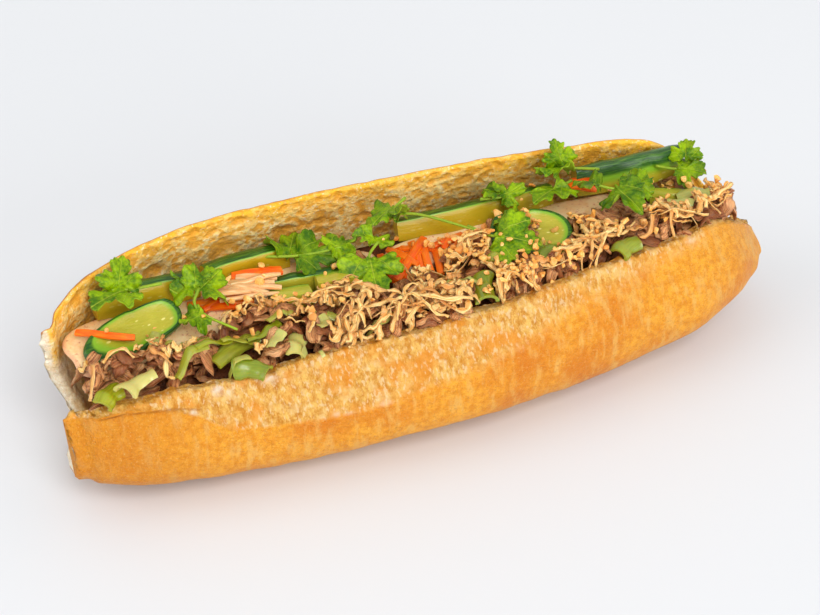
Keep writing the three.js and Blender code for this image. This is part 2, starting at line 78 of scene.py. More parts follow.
loaf_half = 140
loaf_stations = np.array([
    # x, front rim y z, back rim y z, foot from to, lift, front and back belly
    (-140, -22, 41, 3, 61, -14, 14, 11, 5, 8),
    (-118, -29, 45, 19, 66.5, -20, 20, 7, 7, 8),
    (-75, -35, 47, 29, 69.5, -24, 24, 2, 8, 10),
    (0, -41, 50, 28, 68.5, -26, 26, 0, 11, 12),
    (70, -37, 52, 23, 65.5, -25, 25, 2, 10, 11),
    (112, -30, 50, 16, 60.5, -17, 18, 10, 12, 8),
    (140, -12, 31, 6, 36, -6, 4, 19, 6, 3),
], float)
loaf_wall_inset = np.array([
    (6.5, -1.5), (7.5, 0), (8.5, 3.5), (7, 9.5), (0, 12), (-8, 9), (-10, 4), (-8, 0), (-2.5, -0.5),
])
loaf_full_width = 46


def smooth_step(value):
    """A smooth rise from 0 to 1 as the value goes from 0 to 1, level before and after."""
    value = np.clip(value, 0, 1)
    return value * value * (3 - 2 * value)


def hump(value, middle, width):
    """A smooth hump, 1 where the value is at the middle and near 0 from two widths away."""
    return np.exp(-(((value - middle) / width) ** 2))


def sizes_at(rows, x):
    """The sizes in a table of stations at each x, smoothly between its rows."""
    i = np.clip(np.searchsorted(rows[:, 0], x, side="right") - 1, 0, len(rows) - 2)
    before, start = rows[np.maximum(i - 1, 0)], rows[i]
    end, after = rows[i + 1], rows[np.minimum(i + 2, len(rows) - 1)]
    span = (end - start)[:, :1]
    s = (x[:, None] - start[:, :1]) / span
    leave = span * (end - before) / (end - before)[:, :1]
    reach = span * (after - start) / (after - start)[:, :1]
    return (
        (2 * s**3 - 3 * s**2 + 1) * start
        + (s**3 - 2 * s**2 + s) * leave
        + (3 * s**2 - 2 * s**3) * end
        + (s**3 - s**2) * reach
    )


def curve_through(controls, s):
    """Points at shares s of the smooth curves through rows of control points."""
    first = 2 * controls[:, :1] - controls[:, 1:2]
    last = 2 * controls[:, -1:] - controls[:, -2:-1]
    spans = controls.shape[1] - 1
    controls = np.concatenate([first, controls, last], axis=1)
    t = np.clip(s, 0, 1) * spans
    i = np.minimum(t.astype(int), spans - 1)
    u = (t - i)[None, :, None]
    a, b, c, d = (controls[:, i + k] for k in range(4))
    return 0.5 * (2 * b + (c - a) * u + (2 * a - 5 * b + 4 * c - d) * u**2 + (3 * b - a - 3 * c + d) * u**3)


def tip_drawn(x, s):
    """The x of points near the tips, where the cut bread draws back, most of all low down behind."""
    left = 10 * hump(s, 0.66, 0.2) * smooth_step((45 - loaf_half - x) / 45)
    right = 7 * smooth_step((s - 0.5) / 0.5) * smooth_step((x - loaf_half + 45) / 45)
    return x + left - right


def loaf_points(x, s, depth):
    """Points of the loaf at each x and share s from front rim to back rim, some share of the wall in."""
    _, front_y, front_z, back_y, back_z, foot_a, foot_b, lift, belly_a, belly_b = sizes_at(loaf_stations, x).T
    lift = np.maximum(0, lift - 1)
    crust = np.stack([
        np.stack(point, axis=-1)
        for point in (
            (front_y, front_z),
            (front_y - belly_a, lift + 0.6 * (front_z - lift)),
            (front_y - 0.75 * belly_a, lift + 0.24 * (front_z - lift)),
            (foot_a, lift),
            ((foot_a + foot_b) / 2, lift),
            (foot_b, lift),
            (back_y + 0.75 * belly_b, lift + 0.22 * (back_z - lift)),
            (back_y + belly_b, lift + 0.55 * (back_z - lift)),
            (back_y, back_z),
        )
    ], axis=1)
    thin = np.clip((back_y - front_y) / loaf_full_width, 0.45, 1)
    inside = crust + loaf_wall_inset * thin[:, None, None]
    outer = curve_through(crust, s)
    outer[..., 1] = np.maximum(outer[..., 1], lift[:, None])
    section = outer + (curve_through(inside, s) - outer) * depth[None, :, None]
    return np.concatenate([tip_drawn(x[:, None], s[None, :])[..., None], section], axis=-1)


def lumps(points, size, seed, octaves):
    """Smooth random bumps between about -1 and 1 at each point; the largest are size across."""
    shape = points.shape[:-1]
    points = points.reshape(-1, 3) / size + seed * 7.31
    total = np.zeros(len(points))
    for octave in range(octaves):
        cell = points * 2**octave
        corner = np.floor(cell)
        part = smooth_step(cell - corner)
        for step in np.ndindex(2, 2, 2):
            random = np.sin((corner + step) @ (12.9898, 78.233, 37.719)) * 43758.5453
            share = np.where(step, part, 1 - part).prod(axis=1)
            total += (2 * (random - np.floor(random)) - 1) * share / 2**octave
    return total.reshape(shape)


def ring_faces(rings, columns):
    """Quads round a stack of closed rings, and one face over each end."""
    at = np.arange(rings * columns).reshape(rings, columns)
    after = np.roll(at, -1, axis=1)
    faces = np.stack([at[:-1], after[:-1], after[1:], at[1:]], axis=-1).reshape(-1, 4).tolist()
    return faces + [at[0, ::-1].tolist(), at[-1].tolist()]


def make_piece(name, points, faces, material, slot, **attributes):
    """A mesh object from points in millimetres, with smooth faces and named values at its points."""
    mesh = bpy.data.meshes.new(name)
    mesh.from_pydata((np.asarray(points).reshape(-1, 3) * MM).tolist(), [], faces)
    mesh.polygons.foreach_set("use_smooth", np.ones(len(mesh.polygons), bool))
    for label, values in attributes.items():
        values = np.asarray(values, np.float32)
        is_vector = values.ndim > 1 and values.shape[-1] == 3
        layer = mesh.attributes.new(label, "FLOAT_VECTOR" if is_vector else "FLOAT", "POINT")
        layer.data.foreach_set("vector" if is_vector else "value", values.ravel())
    mesh.materials.append(material)
    mesh.update()
    piece = bpy.data.objects.new(name, mesh)
    bpy.context.scene.collection.objects.link(piece)
    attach(piece, "root")
    return piece


def put(tree, kind, inputs=None, **settings):
    """Adds a shader node with its settings, and feeds its inputs with sockets or plain values."""
    made = tree.nodes.new("ShaderNode" + kind)
    for label, value in settings.items():
        setattr(made, label, value)
    for label, value in (inputs or {}).items():
        if isinstance(value, bpy.types.NodeSocket):
            tree.links.new(value, made.inputs[label])
        else:
            made.inputs[label].default_value = value
    return made


def paint(red, green, blue):
    """A colour given as it looks, from 0 to 255, as the shader wants it."""
    parts = [part / 255 for part in (red, green, blue)]
    return (*[part / 12.92 if part < 0.0405 else ((part + 0.055) / 1.055) ** 2.4 for part in parts], 1)


def mixed(tree, share, first, second):
    """The first colour, changed into the second by some share."""
    return put(tree, "Mix", {0: share, 6: first, 7: second}, data_type="RGBA").outputs[2]


def ranged(tree, value, low, high, to_low=0.0, to_high=1.0):
    """A value brought smoothly from one range to another, and held at its ends."""
    inputs = {0: value, 1: low, 2: high, 3: to_low, 4: to_high}
    return put(tree, "MapRange", inputs, interpolation_type="SMOOTHSTEP").outputs[0]


def tinted(tree, colour, tint, value, low, high, least, most):
    """A colour changed to a tint, by a share between least and most as a value goes from low to high."""
    return mixed(tree, ranged(tree, value, low, high, least, most), colour, tint)


def counted(tree, way, first, second=0.0):
    """One step of arithmetic in the shader, such as MULTIPLY or SINE."""
    return put(tree, "Math", {0: first, 1: second}, operation=way).outputs[0]


def noise(tree, vector, scale, detail, roughness=0.55):
    """Soft random patches between 0 and 1, scale of them to the unit of the vector."""
    inputs = {"Vector": vector, "Scale": scale, "Detail": detail, "Roughness": roughness}
    return put(tree, "TexNoise", inputs).outputs["Fac"]


def attribute(tree, label, output="Fac"):
    """A named value that the mesh carries at its points."""
    return put(tree, "Attribute", attribute_name=label).outputs[output]


def new_material(name, roughness, **constants):
    """A material with its Principled shader; constants are set straight on the shader."""
    material = bpy.data.materials.new(name)
    material.use_nodes = True
    shader = material.node_tree.nodes["Principled BSDF"]
    shader.inputs["Roughness"].default_value = roughness
    for label, value in constants.items():
        shader.inputs[label.replace("_", " ").title().replace("Ior", "IOR")].default_value = value
    return material, material.node_tree, shader


def finish_material(tree, shader, colour, height, bump_distance, bump_strength):
    """Gives the shader its colour, and fine bumps from a height."""
    tree.links.new(colour, shader.inputs["Base Color"])
    inputs = {"Height": height, "Distance": bump_distance, "Strength": bump_strength}
    bump = put(tree, "Bump", inputs)
    tree.links.new(bump.outputs["Normal"], shader.inputs["Normal"])


# Mottling is patchy colour in two sizes, for bread, nuts and leaves alike.
mottling = bpy.data.node_groups.new("mottling", "ShaderNodeTree")
for label, way, kind in (
    ("Vector", "INPUT", "Vector"), ("Scale", "INPUT", "Float"), ("Light", "INPUT", "Color"),
    ("Dark", "INPUT", "Color"), ("Colour", "OUTPUT", "Color"), ("Height", "OUTPUT", "Float"),
):
    mottling.interface.new_socket(label, in_out=way, socket_type="NodeSocket" + kind)
group_in = mottling.nodes.new("NodeGroupInput")
group_out = mottling.nodes.new("NodeGroupOutput")
coarse = noise(mottling, group_in.outputs["Vector"], group_in.outputs["Scale"], 4, 0.6)
fine_scale = counted(mottling, "MULTIPLY", group_in.outputs["Scale"], 5.3)
fine = noise(mottling, group_in.outputs["Vector"], fine_scale, 3, 0.6)
coarse_part = counted(mottling, "MULTIPLY", coarse, 0.65)
fine_part = counted(mottling, "MULTIPLY", fine, 0.35)
both = counted(mottling, "ADD", coarse_part, fine_part)
patches = ranged(mottling, both, 0.36, 0.64)
mottled = mixed(mottling, patches, group_in.outputs["Dark"], group_in.outputs["Light"])
mottling.links.new(mottled, group_out.inputs["Colour"])
mottling.links.new(both, group_out.inputs["Height"])


def mottle(tree, vector, scale, light, dark):
    """The mottling effect in a material, as its colour and its height."""
    inputs = {"Vector": vector, "Scale": scale, "Light": light, "Dark": dark}
    made = put(tree, "Group", inputs, node_tree=mottling)
    return made.outputs["Colour"], made.outputs["Height"]


def stretched(tree, vector, x, y, z):
    """A shader's place, scaled along each axis, so that patterns on it run long."""
    return put(tree, "Mapping", {"Vector": vector, "Scale": (x, y, z)}).outputs[0]


# The grid: rings along the loaf, each once round the crust, over the back rim, round the inside and over
# the front rim. At the tips the rings draw in to the middle of the wall, and the last ones are closed.
# The rows are closest on the front of the crust and high up inside, where the most relief shows.
crust_shares = np.concatenate([
    np.linspace(0, 0.3, 80),
    np.linspace(0.3, 0.8, 30)[1:],
    np.linspace(0.8, 1, 20)[1:],
])
inner_shares = np.concatenate([
    np.linspace(1, 0.88, 66),
    np.linspace(0.88, 0.1, 20)[1:],
    np.linspace(0.1, 0, 8)[1:],
])
back_depths = np.linspace(0, 1, 8)[1:-1]
front_depths = np.linspace(1, 0, 10)[1:-1]
crust_count, inner_count = len(crust_shares), len(inner_shares)
shares = np.concatenate([crust_shares, np.ones(len(back_depths)), inner_shares, np.zeros(len(front_depths))])
depths = np.concatenate([np.zeros(crust_count), back_depths, np.ones(inner_count), front_depths])
on_crust = depths == 0
on_inside = depths == 1
on_rim = ~on_crust & ~on_inside

rows_x = np.linspace(-loaf_half, loaf_half, 393)
cap_draw = np.array([0.97, 0.85, 0.65, 0.4, 0.18, 0.05])
cap_rings = len(cap_draw)
ring_x = np.concatenate([np.full(cap_rings, rows_x[0]), rows_x, np.full(cap_rings, rows_x[-1])])
ring_draw = np.concatenate([cap_draw, np.zeros(len(rows_x)), cap_draw[::-1]])

loaf = loaf_points(ring_x, shares, depths)
middle = loaf_points(ring_x, shares, np.full(len(shares), 0.5))
# The ends of the wall are rounded: their edges draw back, and the middle stays where it was.
tip_bulge = np.where(ring_x[:, None] < 0, -3.5, 1.3 * smooth_step(shares / 0.24))
tip_round = np.sqrt(np.clip(1 - (1 - ring_draw) ** 2, 0, 1)) - smooth_step((np.abs(ring_x) - 132) / 8)
loaf += (middle - loaf) * ring_draw[:, None, None]
loaf[..., 0] += tip_bulge * tip_round[:, None]

# The right tip is closed and round where the crust wasn't cut.
loaf[..., 0] -= 0.6 * hump(shares, 0.58, 0.2) * smooth_step((ring_x - 124) / 16)[:, None]
blunt = 2.2 * hump(shares, 0, 0.13) + 0.7 * hump(shares, 0.17, 0.08)
loaf[..., 0] -= blunt * smooth_step((ring_x - 126) / 14)[:, None]
fullness = 2.2 * hump(ring_x, 134, 7) - 1.5 * hump(ring_x, 110, 9)
loaf[..., 1] -= hump(shares, 0.23, 0.12) * on_crust * fullness[:, None]

# The rims are a little rounded and uneven, most of all the torn one in front.
back_end = loaf_points(ring_x, np.array([1.0, 0.98]), np.array([0.5, 0.5]))
front_end = loaf_points(ring_x, np.array([0.0, 0.02]), np.array([0.5, 0.5]))
for end, share, round_out, ragged in ((back_end, 1, 0.8, 0.5), (front_end, 0, 1.8, 1.1)):
    chosen = on_rim & (shares == share)
    out = end[:, 0] - end[:, 1]
    out /= np.linalg.norm(out, axis=1, keepdims=True)
    bulge = round_out * np.sqrt(1 - (2 * depths[chosen] - 1) ** 4)
    loaf[:, chosen] += out[:, None, :] * bulge[:, None] * (1 - ring_draw)[:, None, None]
    near_rim = hump(shares, share, 0.02) * np.where(depths > 0, 1, 0.8)
    waver = lumps(loaf * (1, 0.5, 0.5), 9, 21 + share, 3)
    loaf += out[:, None, :] * (ragged * waver * near_rim)[..., None]

# How far each point is in from the outer edge of the back rim, over the rim and down the inside.
outer_edge = crust_count - 1
inward = np.full(loaf.shape[:2], -1.0)
inward[:, outer_edge:] = 0
inward[:, outer_edge + 1:] = np.cumsum(np.linalg.norm(np.diff(loaf[:, outer_edge:], axis=1), axis=2), axis=1)

across = np.roll(loaf, -1, axis=1) - np.roll(loaf, 1, axis=1)
along = np.gradient(loaf, axis=0)
outward = np.cross(across, along)
in_cap = ring_draw > 0
outward[in_cap] = 0
outward[in_cap, :, 0] = np.sign(ring_x[in_cap])[:, None]
outward /= np.linalg.norm(outward, axis=-1, keepdims=True) + 1e-9

# How far down the front the torn split reaches, and the relief of the outside.
x_grid = loaf[..., 0]
s_grid = np.broadcast_to(shares, x_grid.shape)
shape = x_grid.shape
ledge = np.interp(
    x_grid,
    (-136, -120, -111, -98, -89, -77, -65, -40, -15, 15, 33, 51, 70, 100, 118),
    (0.004, 0.012, 0.024, 0.058, 0.1, 0.112, 0.124, 0.128, 0.118, 0.094, 0.078, 0.062, 0.05, 0.03, 0.0),
)
ledge += 0.006 * lumps(loaf, 16, 3, 2)
ledge_softness = np.interp(x_grid, (-60, 0, 60), (0.006, 0.03, 0.05))
torn = smooth_step((ledge - s_grid) / ledge_softness) * on_crust
torn = np.maximum(torn, on_rim & (shares == 0))
streaks = lumps(loaf * (1, 0.3, 0.3), 2.2, 5, 3)
pits = lumps(loaf, 1.5, 8, 2)
lip = hump(s_grid, ledge, 0.012) * on_crust * np.clip((x_grid + 132) / 20, 0, 1)
lip *= np.interp(x_grid, (-60, 10, 80), (1, 0.6, 0.15))
rise = on_crust * (0.7 * lumps(loaf, 34, 1, 2) + 0.22 * lumps(loaf, 7, 2, 3))
rise += torn * (-1.0 + 0.5 * streaks + 0.3 * pits) + 0.3 * lip
# A crack along the ledge at the left tip, and a crease from it down to the corner.
crack_share = np.interp(x_grid, (-131, -120, -108, -96), (0.013, 0.0175, 0.026, 0.045))
crack = hump(s_grid, crack_share, 0.0022) * ((x_grid > -130) & (x_grid < -97)) * on_crust
crease_shares = (0, 0.019, 0.044, 0.07, 0.086, 0.1)
crease_x = np.interp(s_grid, crease_shares, (-129, -129.5, -131, -133, -135.5, -139.5))
crease = hump(x_grid, crease_x, 1.1) * smooth_step((0.098 - s_grid) / 0.01) * on_crust
corner = smooth_step((crease_x - x_grid) / 2) * smooth_step((0.1 - s_grid) / 0.01) * on_crust
rise += -0.8 * crack + 0.4 * crease + corner * (0.5 + 0.5 * lumps(loaf, 3, 31, 3))

# Cells of the crumb: smooth pockets with crinkled walls between. The largest are placed one by one.
cells = [
    # x, way in, size
    (-63, 17, 5.0), (-57, 6, 3.2), (-40, 17.4, 4.0), (-39.5, 5, 2.4), (-33, 15.6, 2.6), (-34, 5, 2.2),
    (-26, 16.7, 3.4), (-91, 15.6, 4.2), (-75, 5, 2.6), (-19, 5, 2.4), (31, 10, 3.4), (19, 8, 2.4),
    (44.5, 5, 2.8), (84, 9, 3.0), (-123.5, 6, 3.2), (-112, 15, 3.6), (2, 13, 3.0), (66, 7, 2.6),
    (104, 9, 3.0), (-103, 6, 2.6), (-8, 18, 3.0),
]
cell_dice = np.random.default_rng(7)
for count, nearest, smallest, largest in ((400, 2.2, 0.9, 2.2), (1500, 1.2, 0.5, 0.9)):
    for _ in range(count):
        x, way_in = cell_dice.uniform(-136, 134), cell_dice.uniform(nearest, 32)
        cells.append((x, way_in, cell_dice.uniform(smallest, largest)))
deepest_cell = 1.3
hole = np.zeros(shape)
depth_of = np.zeros(shape)
warp_x = x_grid + 1.5 * lumps(loaf, 4.5, 40, 3)
warp_in = inward + 1.5 * lumps(loaf, 4.5, 44, 3)
row_x = x_grid[:, outer_edge]
for x, way_in, size in cells:
    near_x = np.abs(row_x - x) < 1.3 * size + 3
    near_in = np.abs(inward[np.argmin(np.abs(row_x - x))] - way_in) < size + 4
    window = np.ix_(near_x, near_in)
    far = ((warp_x[window] - x) / (1.2 * size)) ** 2 + ((warp_in[window] - way_in) / size) ** 2
    dent = np.clip(1 - far, 0, 1)
    hole[window] = np.maximum(hole[window], dent)
    depth = min(0.34 * size, deepest_cell) * (1 if size > 2.3 else 0.65)
    depth_of[window] = np.maximum(depth_of[window], dent * depth)
crinkle = 0.28 * lumps(loaf, 3.0, 9, 3)
open_crumb = on_inside | (on_rim & (shares == 1))
rise += open_crumb * (crinkle * (1 - hole) - depth_of) * smooth_step((inward - 0.6) / 2.2)
end_rough = lumps(loaf, 3.2, 12, 3)
rise += (ring_draw > 0)[:, None] * ((ring_x < 0)[:, None] | (shares > 0.85)) * 0.8 * end_rough
loaf += outward * rise[..., None]
loaf[..., 2] = np.maximum(loaf[..., 2], 0)

# What each point of the loaf is: crumb, pale cut bread, browned rim, golden rim with painted light on the
# right, or a near white place.
crumb = open_crumb * smooth_step((inward - 0.4) / 1.2)
crumb = np.maximum(crumb, (ring_draw > 0.1)[:, None] * (shares > 0.5)[None, :])
pale = smooth_step((ring_draw[:, None] - 0.02) / 0.2) * smooth_step((s_grid - 0.5) / 0.1)
pale *= (ring_x < 0)[:, None]
pale = np.maximum(pale, on_inside * smooth_step((-122 - x_grid) / 14) * smooth_step((0.93 - s_grid) / 0.05))
# The golden band along the rim is the crumb's own; from the middle to the right it reaches further in, as
# painted light.
rim_gold = open_crumb * smooth_step((12 + 9 * smooth_step((x_grid - 20) / 60) - inward) / 10)
browned = on_crust * smooth_step((s_grid - 0.985) / 0.012)
browned += open_crumb * smooth_step((1.6 - inward) / 1.2)
white_at = np.zeros(shape)
warp_s = s_grid + 0.006 * lumps(loaf, 4.5, 48, 3)
white_places = [
    # x, share, size
    (-72.5, 0.002, 3.4), (-90, 0.008, 3.0), (-101, 0.05, 1.6), (96, 0.008, 2.4), (-35, 0.118, 2),
    (-50, 0.12, 2.4),
]
for x, share, size in white_places:
    far = ((warp_x - x) / size) ** 2 + ((warp_s - share) / (0.0045 * size)) ** 2
    white_at += np.exp(-far) * on_crust

bread, tree, shader = new_material(
    "bread", 0.5, specular_ior_level=0.25, subsurface_weight=0.06, subsurface_scale=0.003,
)
place = put(tree, "TexCoord").outputs["Object"]
# Uncut crust: golden orange with a leathery fine grain, darker in broad patches.
crust_colour, _ = mottle(tree, place, 420, paint(238, 168, 50), paint(216, 134, 18))
broad = noise(tree, place, 26, 3)
crust_colour = tinted(tree, crust_colour, paint(206, 110, 4), broad, 0.46, 0.7, 0, 0.75)
streaky = noise(tree, stretched(tree, place, 1, 0.3, 0.3), 330, 3)
crust_colour = tinted(tree, crust_colour, paint(228, 176, 92), streaky, 0.5, 0.68, 0, 0.6)
# Painted shade: towards the left tip the crust is painted darker, for the end turned away from the light.
along_x = put(tree, "SeparateXYZ", {"Vector": place}).outputs[0]
crust_colour = tinted(tree, crust_colour, paint(196, 114, 4), along_x, -0.125, -0.08, 0.5, 0)
# Pale fine flecks: the crust's own blistered grain, with painted highlight on the blisters.
pale_flecks_and_glints = noise(tree, place, 1300, 2, 0.7)
crust_colour = tinted(tree, crust_colour, paint(225, 184, 108), pale_flecks_and_glints, 0.55, 0.75, 0, 0.5)
dark_flecks = noise(tree, place, 1200, 2, 0.7)
crust_colour = tinted(tree, crust_colour, paint(169, 94, 9), dark_flecks, 0.26, 0.46, 0.4, 0)
# Torn split: golden, streaked with cream up and down, with a few near white patches.
streak_place = stretched(tree, place, 1, 0.5, 0.5)
torn_colour, _ = mottle(tree, streak_place, 460, paint(220, 174, 88), paint(182, 116, 20))
torn_blotches = noise(tree, place, 200, 4)
torn_colour = tinted(tree, torn_colour, paint(222, 186, 120), torn_blotches, 0.5, 0.66, 0, 0.55)
torn_broad = noise(tree, place, 80, 3)
torn_colour = tinted(tree, torn_colour, paint(210, 130, 24), torn_broad, 0.46, 0.66, 0, 0.75)
torn_flecks = noise(tree, streak_place, 800, 3)
torn_colour = tinted(tree, torn_colour, paint(223, 196, 151), torn_flecks, 0.52, 0.66, 0, 0.6)
white_grain = ranged(tree, noise(tree, place, 300, 3), 0.35, 0.6, 0, 0.75)
white_share = counted(tree, "MULTIPLY", attribute(tree, "white"), white_grain)
torn_colour = mixed(tree, white_share, torn_colour, paint(221, 207, 187))
# Crumb: pale crinkled walls with honey amber patches, golden towards the rim; the glints, the shade in the
# pockets and the light on the right are painted.
crumb_colour, _ = mottle(tree, place, 300, paint(255, 230, 160), paint(246, 192, 98))
amber_zone = noise(tree, place, 75, 3)
crumb_colour = tinted(tree, crumb_colour, paint(244, 188, 84), amber_zone, 0.46, 0.62, 0, 0.6)
# The golden rim colour, wider and brighter on the right as painted light.
gold_grain = ranged(tree, noise(tree, place, 240, 3), 0.35, 0.6, 0.4, 1)
gold_and_light_share = counted(tree, "MULTIPLY", attribute(tree, "rim_gold"), gold_grain)
crumb_colour = mixed(tree, gold_and_light_share, crumb_colour, paint(250, 186, 48))
# Painted highlight: small bright glints on the glossy crumb.
painted_glints = noise(tree, place, 700, 2)
crumb_colour = tinted(tree, crumb_colour, paint(255, 240, 205), painted_glints, 0.58, 0.7, 0, 0.6)
# Painted shade: the hollows of the pockets are painted a darker amber.
painted_pocket_shade = attribute(tree, "hole")
crumb_colour = tinted(tree, crumb_colour, paint(236, 164, 46), painted_pocket_shade, 0.15, 0.8, 0, 0.85)
pale_colour, _ = mottle(tree, place, 300, paint(250, 238, 214), paint(230, 204, 162))
crumb_colour = mixed(tree, attribute(tree, "pale"), crumb_colour, pale_colour)
outside = mixed(tree, attribute(tree, "torn"), crust_colour, torn_colour)
bread_colour = mixed(tree, attribute(tree, "crumb"), outside, crumb_colour)
bread_colour = mixed(tree, attribute(tree, "browned"), bread_colour, paint(196, 122, 44))
# Painted shade: the crack is painted darker along its line.
crack_share = counted(tree, "MULTIPLY", attribute(tree, "crack"), 0.6)
bread_colour = mixed(tree, crack_share, bread_colour, paint(150, 84, 26))
fine_height = noise(tree, place, 1000, 3, 0.7)
soft_share = counted(tree, "MAXIMUM", attribute(tree, "crumb"), attribute(tree, "torn"))
rough_height = noise(tree, place, 420, 4, 0.65)
height = put(tree, "Mix", {0: soft_share, 2: fine_height, 3: rough_height}).outputs[0]
tree.links.new(ranged(tree, soft_share, 0, 1, 0.4, 0.5), shader.inputs["Roughness"])
finish_material(tree, shader, bread_colour, height, 0.0016, 0.85)

loaf_piece = make_piece(
    "loaf", loaf, ring_faces(*shape), bread, "bread",
    torn=torn, crumb=crumb, hole=hole * (crumb > 0), pale=pale, rim_gold=rim_gold, browned=browned,
    white=np.clip(white_at, 0, 1), crack=crack,
)
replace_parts(loaf_piece, "bread")


# ---- Filling: what it lies on --------------------------------------------------------------------
# The top of the filling as a grid of heights. Each piece that is put down is draped on it and then
# raises it, so the pieces lie on one another as they fell. Cells marked kept are toppings that small
# pieces leave uncovered.

heap_stations = np.array([
    # x, height along the crest and behind it
    (-140, 38, 40), (-118, 45, 46), (-75, 48, 47), (0, 49, 42), (70, 49, 41), (112, 46, 38), (140, 34, 30),
], float)
pile_x = np.arange(-139.0, 140)
pile_y = np.arange(-54.0, 42)
_, crest, behind = sizes_at(heap_stations, pile_x).T
filled_from, filled_to = 1 / 24, 21 / 24
edges = loaf_points(pile_x, np.array([filled_from, filled_to]), np.array([1.1, 1.1]))
front_y, front_z = edges[:, :1, 1], edges[:, :1, 2]
back_y, back_z = edges[:, 1:, 1], edges[:, 1:, 2]
across = np.clip((pile_y - front_y) / (back_y - front_y), 0, 1)
crest, behind = crest[:, None], behind[:, None]
pile = np.where(
    across < 0.36,
    front_z + (crest - front_z) * smooth_step(across / 0.36),
    np.where(
        across < 0.74,
        crest + (behind - crest) * smooth_step((across - 0.36) / 0.38),
        behind + (back_z - behind) * ((across - 0.74) / 0.26) ** 2,
    ),
)
pile -= 3.5 * np.clip(np.minimum(across / 0.1, (1 - across) / 0.1), 0, 1)
rim_z = loaf_points(pile_x, np.array([0.0]), np.array([0.5]))[:, :, 2]
pile = np.where(pile_y < front_y - 1.5, rim_z + 0.5, pile)
core_top = pile.copy()
kept = np.zeros(pile.shape, bool)
dice = np.random.default_rng(41)


def cells_of(points):
    """The cells of the grid that points are over, as their two numbers."""
    points = points.reshape(-1, 3)
    i = np.clip((points[:, 0] - pile_x[0]).round().astype(int), 0, len(pile_x) - 1)
    j = np.clip((points[:, 1] - pile_y[0]).round().astype(int), 0, len(pile_y) - 1)
    return i, j


def raise_pile(rings, keep=False):
    """Raises the grid to the top of a piece, given as rings of points."""
    between = (rings + np.roll(rings, -1, axis=1)) / 2
    halfway = (rings[:-1] + rings[1:]) / 2
    for points in (rings, between, halfway):
        cells = cells_of(points)
        np.maximum.at(pile, cells, points.reshape(-1, 3)[:, 2])
        kept[cells] |= keep


def draped(rings, drape, sink):
    """A piece let down on the pile: partly as stiff as it is, partly bent to what is under it."""
    cells = cells_of(rings)
    ground = np.sort(pile[cells].reshape(rings.shape[:2]), axis=1)
    ground = ground[:, int(0.6 * rings.shape[1])]
    padded = np.pad(ground, 2, mode="edge")
    ground = sum(padded[k: k + len(ground)] for k in range(5)) / 5
    level = drape * ground + (1 - drape) * np.sort(ground)[int(0.8 * len(ground))]
    under = -rings[..., 2].min()
    rings = rings.copy()
    rings[..., 2] += level[:, None] + under - sink
    return rings


def across_at(x, share):
    """The y at some share of the way across the filling, from its front edge, at x."""
    i = int(round(x - pile_x[0]))
    return front_y[i, 0] + (back_y[i, 0] - front_y[i, 0]) * share


def turned(points, turn, roll, tilt=0.0):
    """Points rolled about X, then tilted about Y, then turned about Z, in degrees."""
    sin_roll, sin_tilt, sin_turn = np.sin(np.radians((roll, tilt, turn)))
    cos_roll, cos_tilt, cos_turn = np.cos(np.radians((roll, tilt, turn)))
    about_x = np.array([(1, 0, 0), (0, cos_roll, -sin_roll), (0, sin_roll, cos_roll)])
    about_y = np.array([(cos_tilt, 0, sin_tilt), (0, 1, 0), (-sin_tilt, 0, cos_tilt)])
    about_z = np.array([(cos_turn, -sin_turn, 0), (sin_turn, cos_turn, 0), (0, 0, 1)])
    return points @ (about_z @ about_y @ about_x).T


def moved_onto(points, node, lift=0.0):
    """Points with their middle moved to the middle of a solid."""
    low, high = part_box(node)
    middle = np.array((low + high) / 2) / MM
    flat = points.reshape(-1, 3)
    return points + middle - (flat.min(axis=0) + flat.max(axis=0)) / 2 + (0, 0, lift)


def parts_moved_onto(parts, node):
    """Parts of one piece, with the middle of them all moved to the middle of a solid."""
    points = np.concatenate([rings.reshape(-1, 3) for rings, _ in parts])
    shift = moved_onto(points, node)[0] - points[0]
    return [(rings + shift, values) for rings, values in parts]


def closed_in(grid, caps):
    """A stack of rings with more rings over both ends, drawn in by the shares of caps."""
    closing = (1 - np.array(caps))[:, None, None]
    first, last = grid[0].mean(axis=0), grid[-1].mean(axis=0)
    return np.concatenate([
        first + (grid[0] - first) * closing[::-1],
        grid,
        last + (grid[-1] - last) * closing,
    ])


def swept(spine, section, swell, twist, caps):
    """Rings of a flat section run along a spine, and where along and across it each point is."""
    spine, section = np.asarray(spine, float), np.asarray(section, float)
    ahead = np.gradient(spine, axis=0)
    ahead /= np.linalg.norm(ahead, axis=1, keepdims=True)
    side = np.cross((0, 0, 1), ahead)
    side /= np.linalg.norm(side, axis=1, keepdims=True)
    over = np.cross(ahead, side)
    swell = np.broadcast_to(swell, len(spine))[:, None]
    twist = np.broadcast_to(twist, len(spine))[:, None]
    flat_x = (section[:, 0] * np.cos(twist) - section[:, 1] * np.sin(twist)) * swell
    flat_y = (section[:, 0] * np.sin(twist) + section[:, 1] * np.cos(twist)) * swell
    rings = spine[:, None] + flat_x[..., None] * side[:, None] + flat_y[..., None] * over[:, None]
    steps = np.linalg.norm(np.diff(spine, axis=0), axis=1)
    along = np.concatenate([[0], np.cumsum(steps)])
    local = np.concatenate([
        np.broadcast_to(along[:, None, None], rings.shape[:2] + (1,)),
        np.broadcast_to(section, rings.shape[:2] + (2,)),
    ], axis=-1)
    return closed_in(rings, caps), closed_in(local, caps)


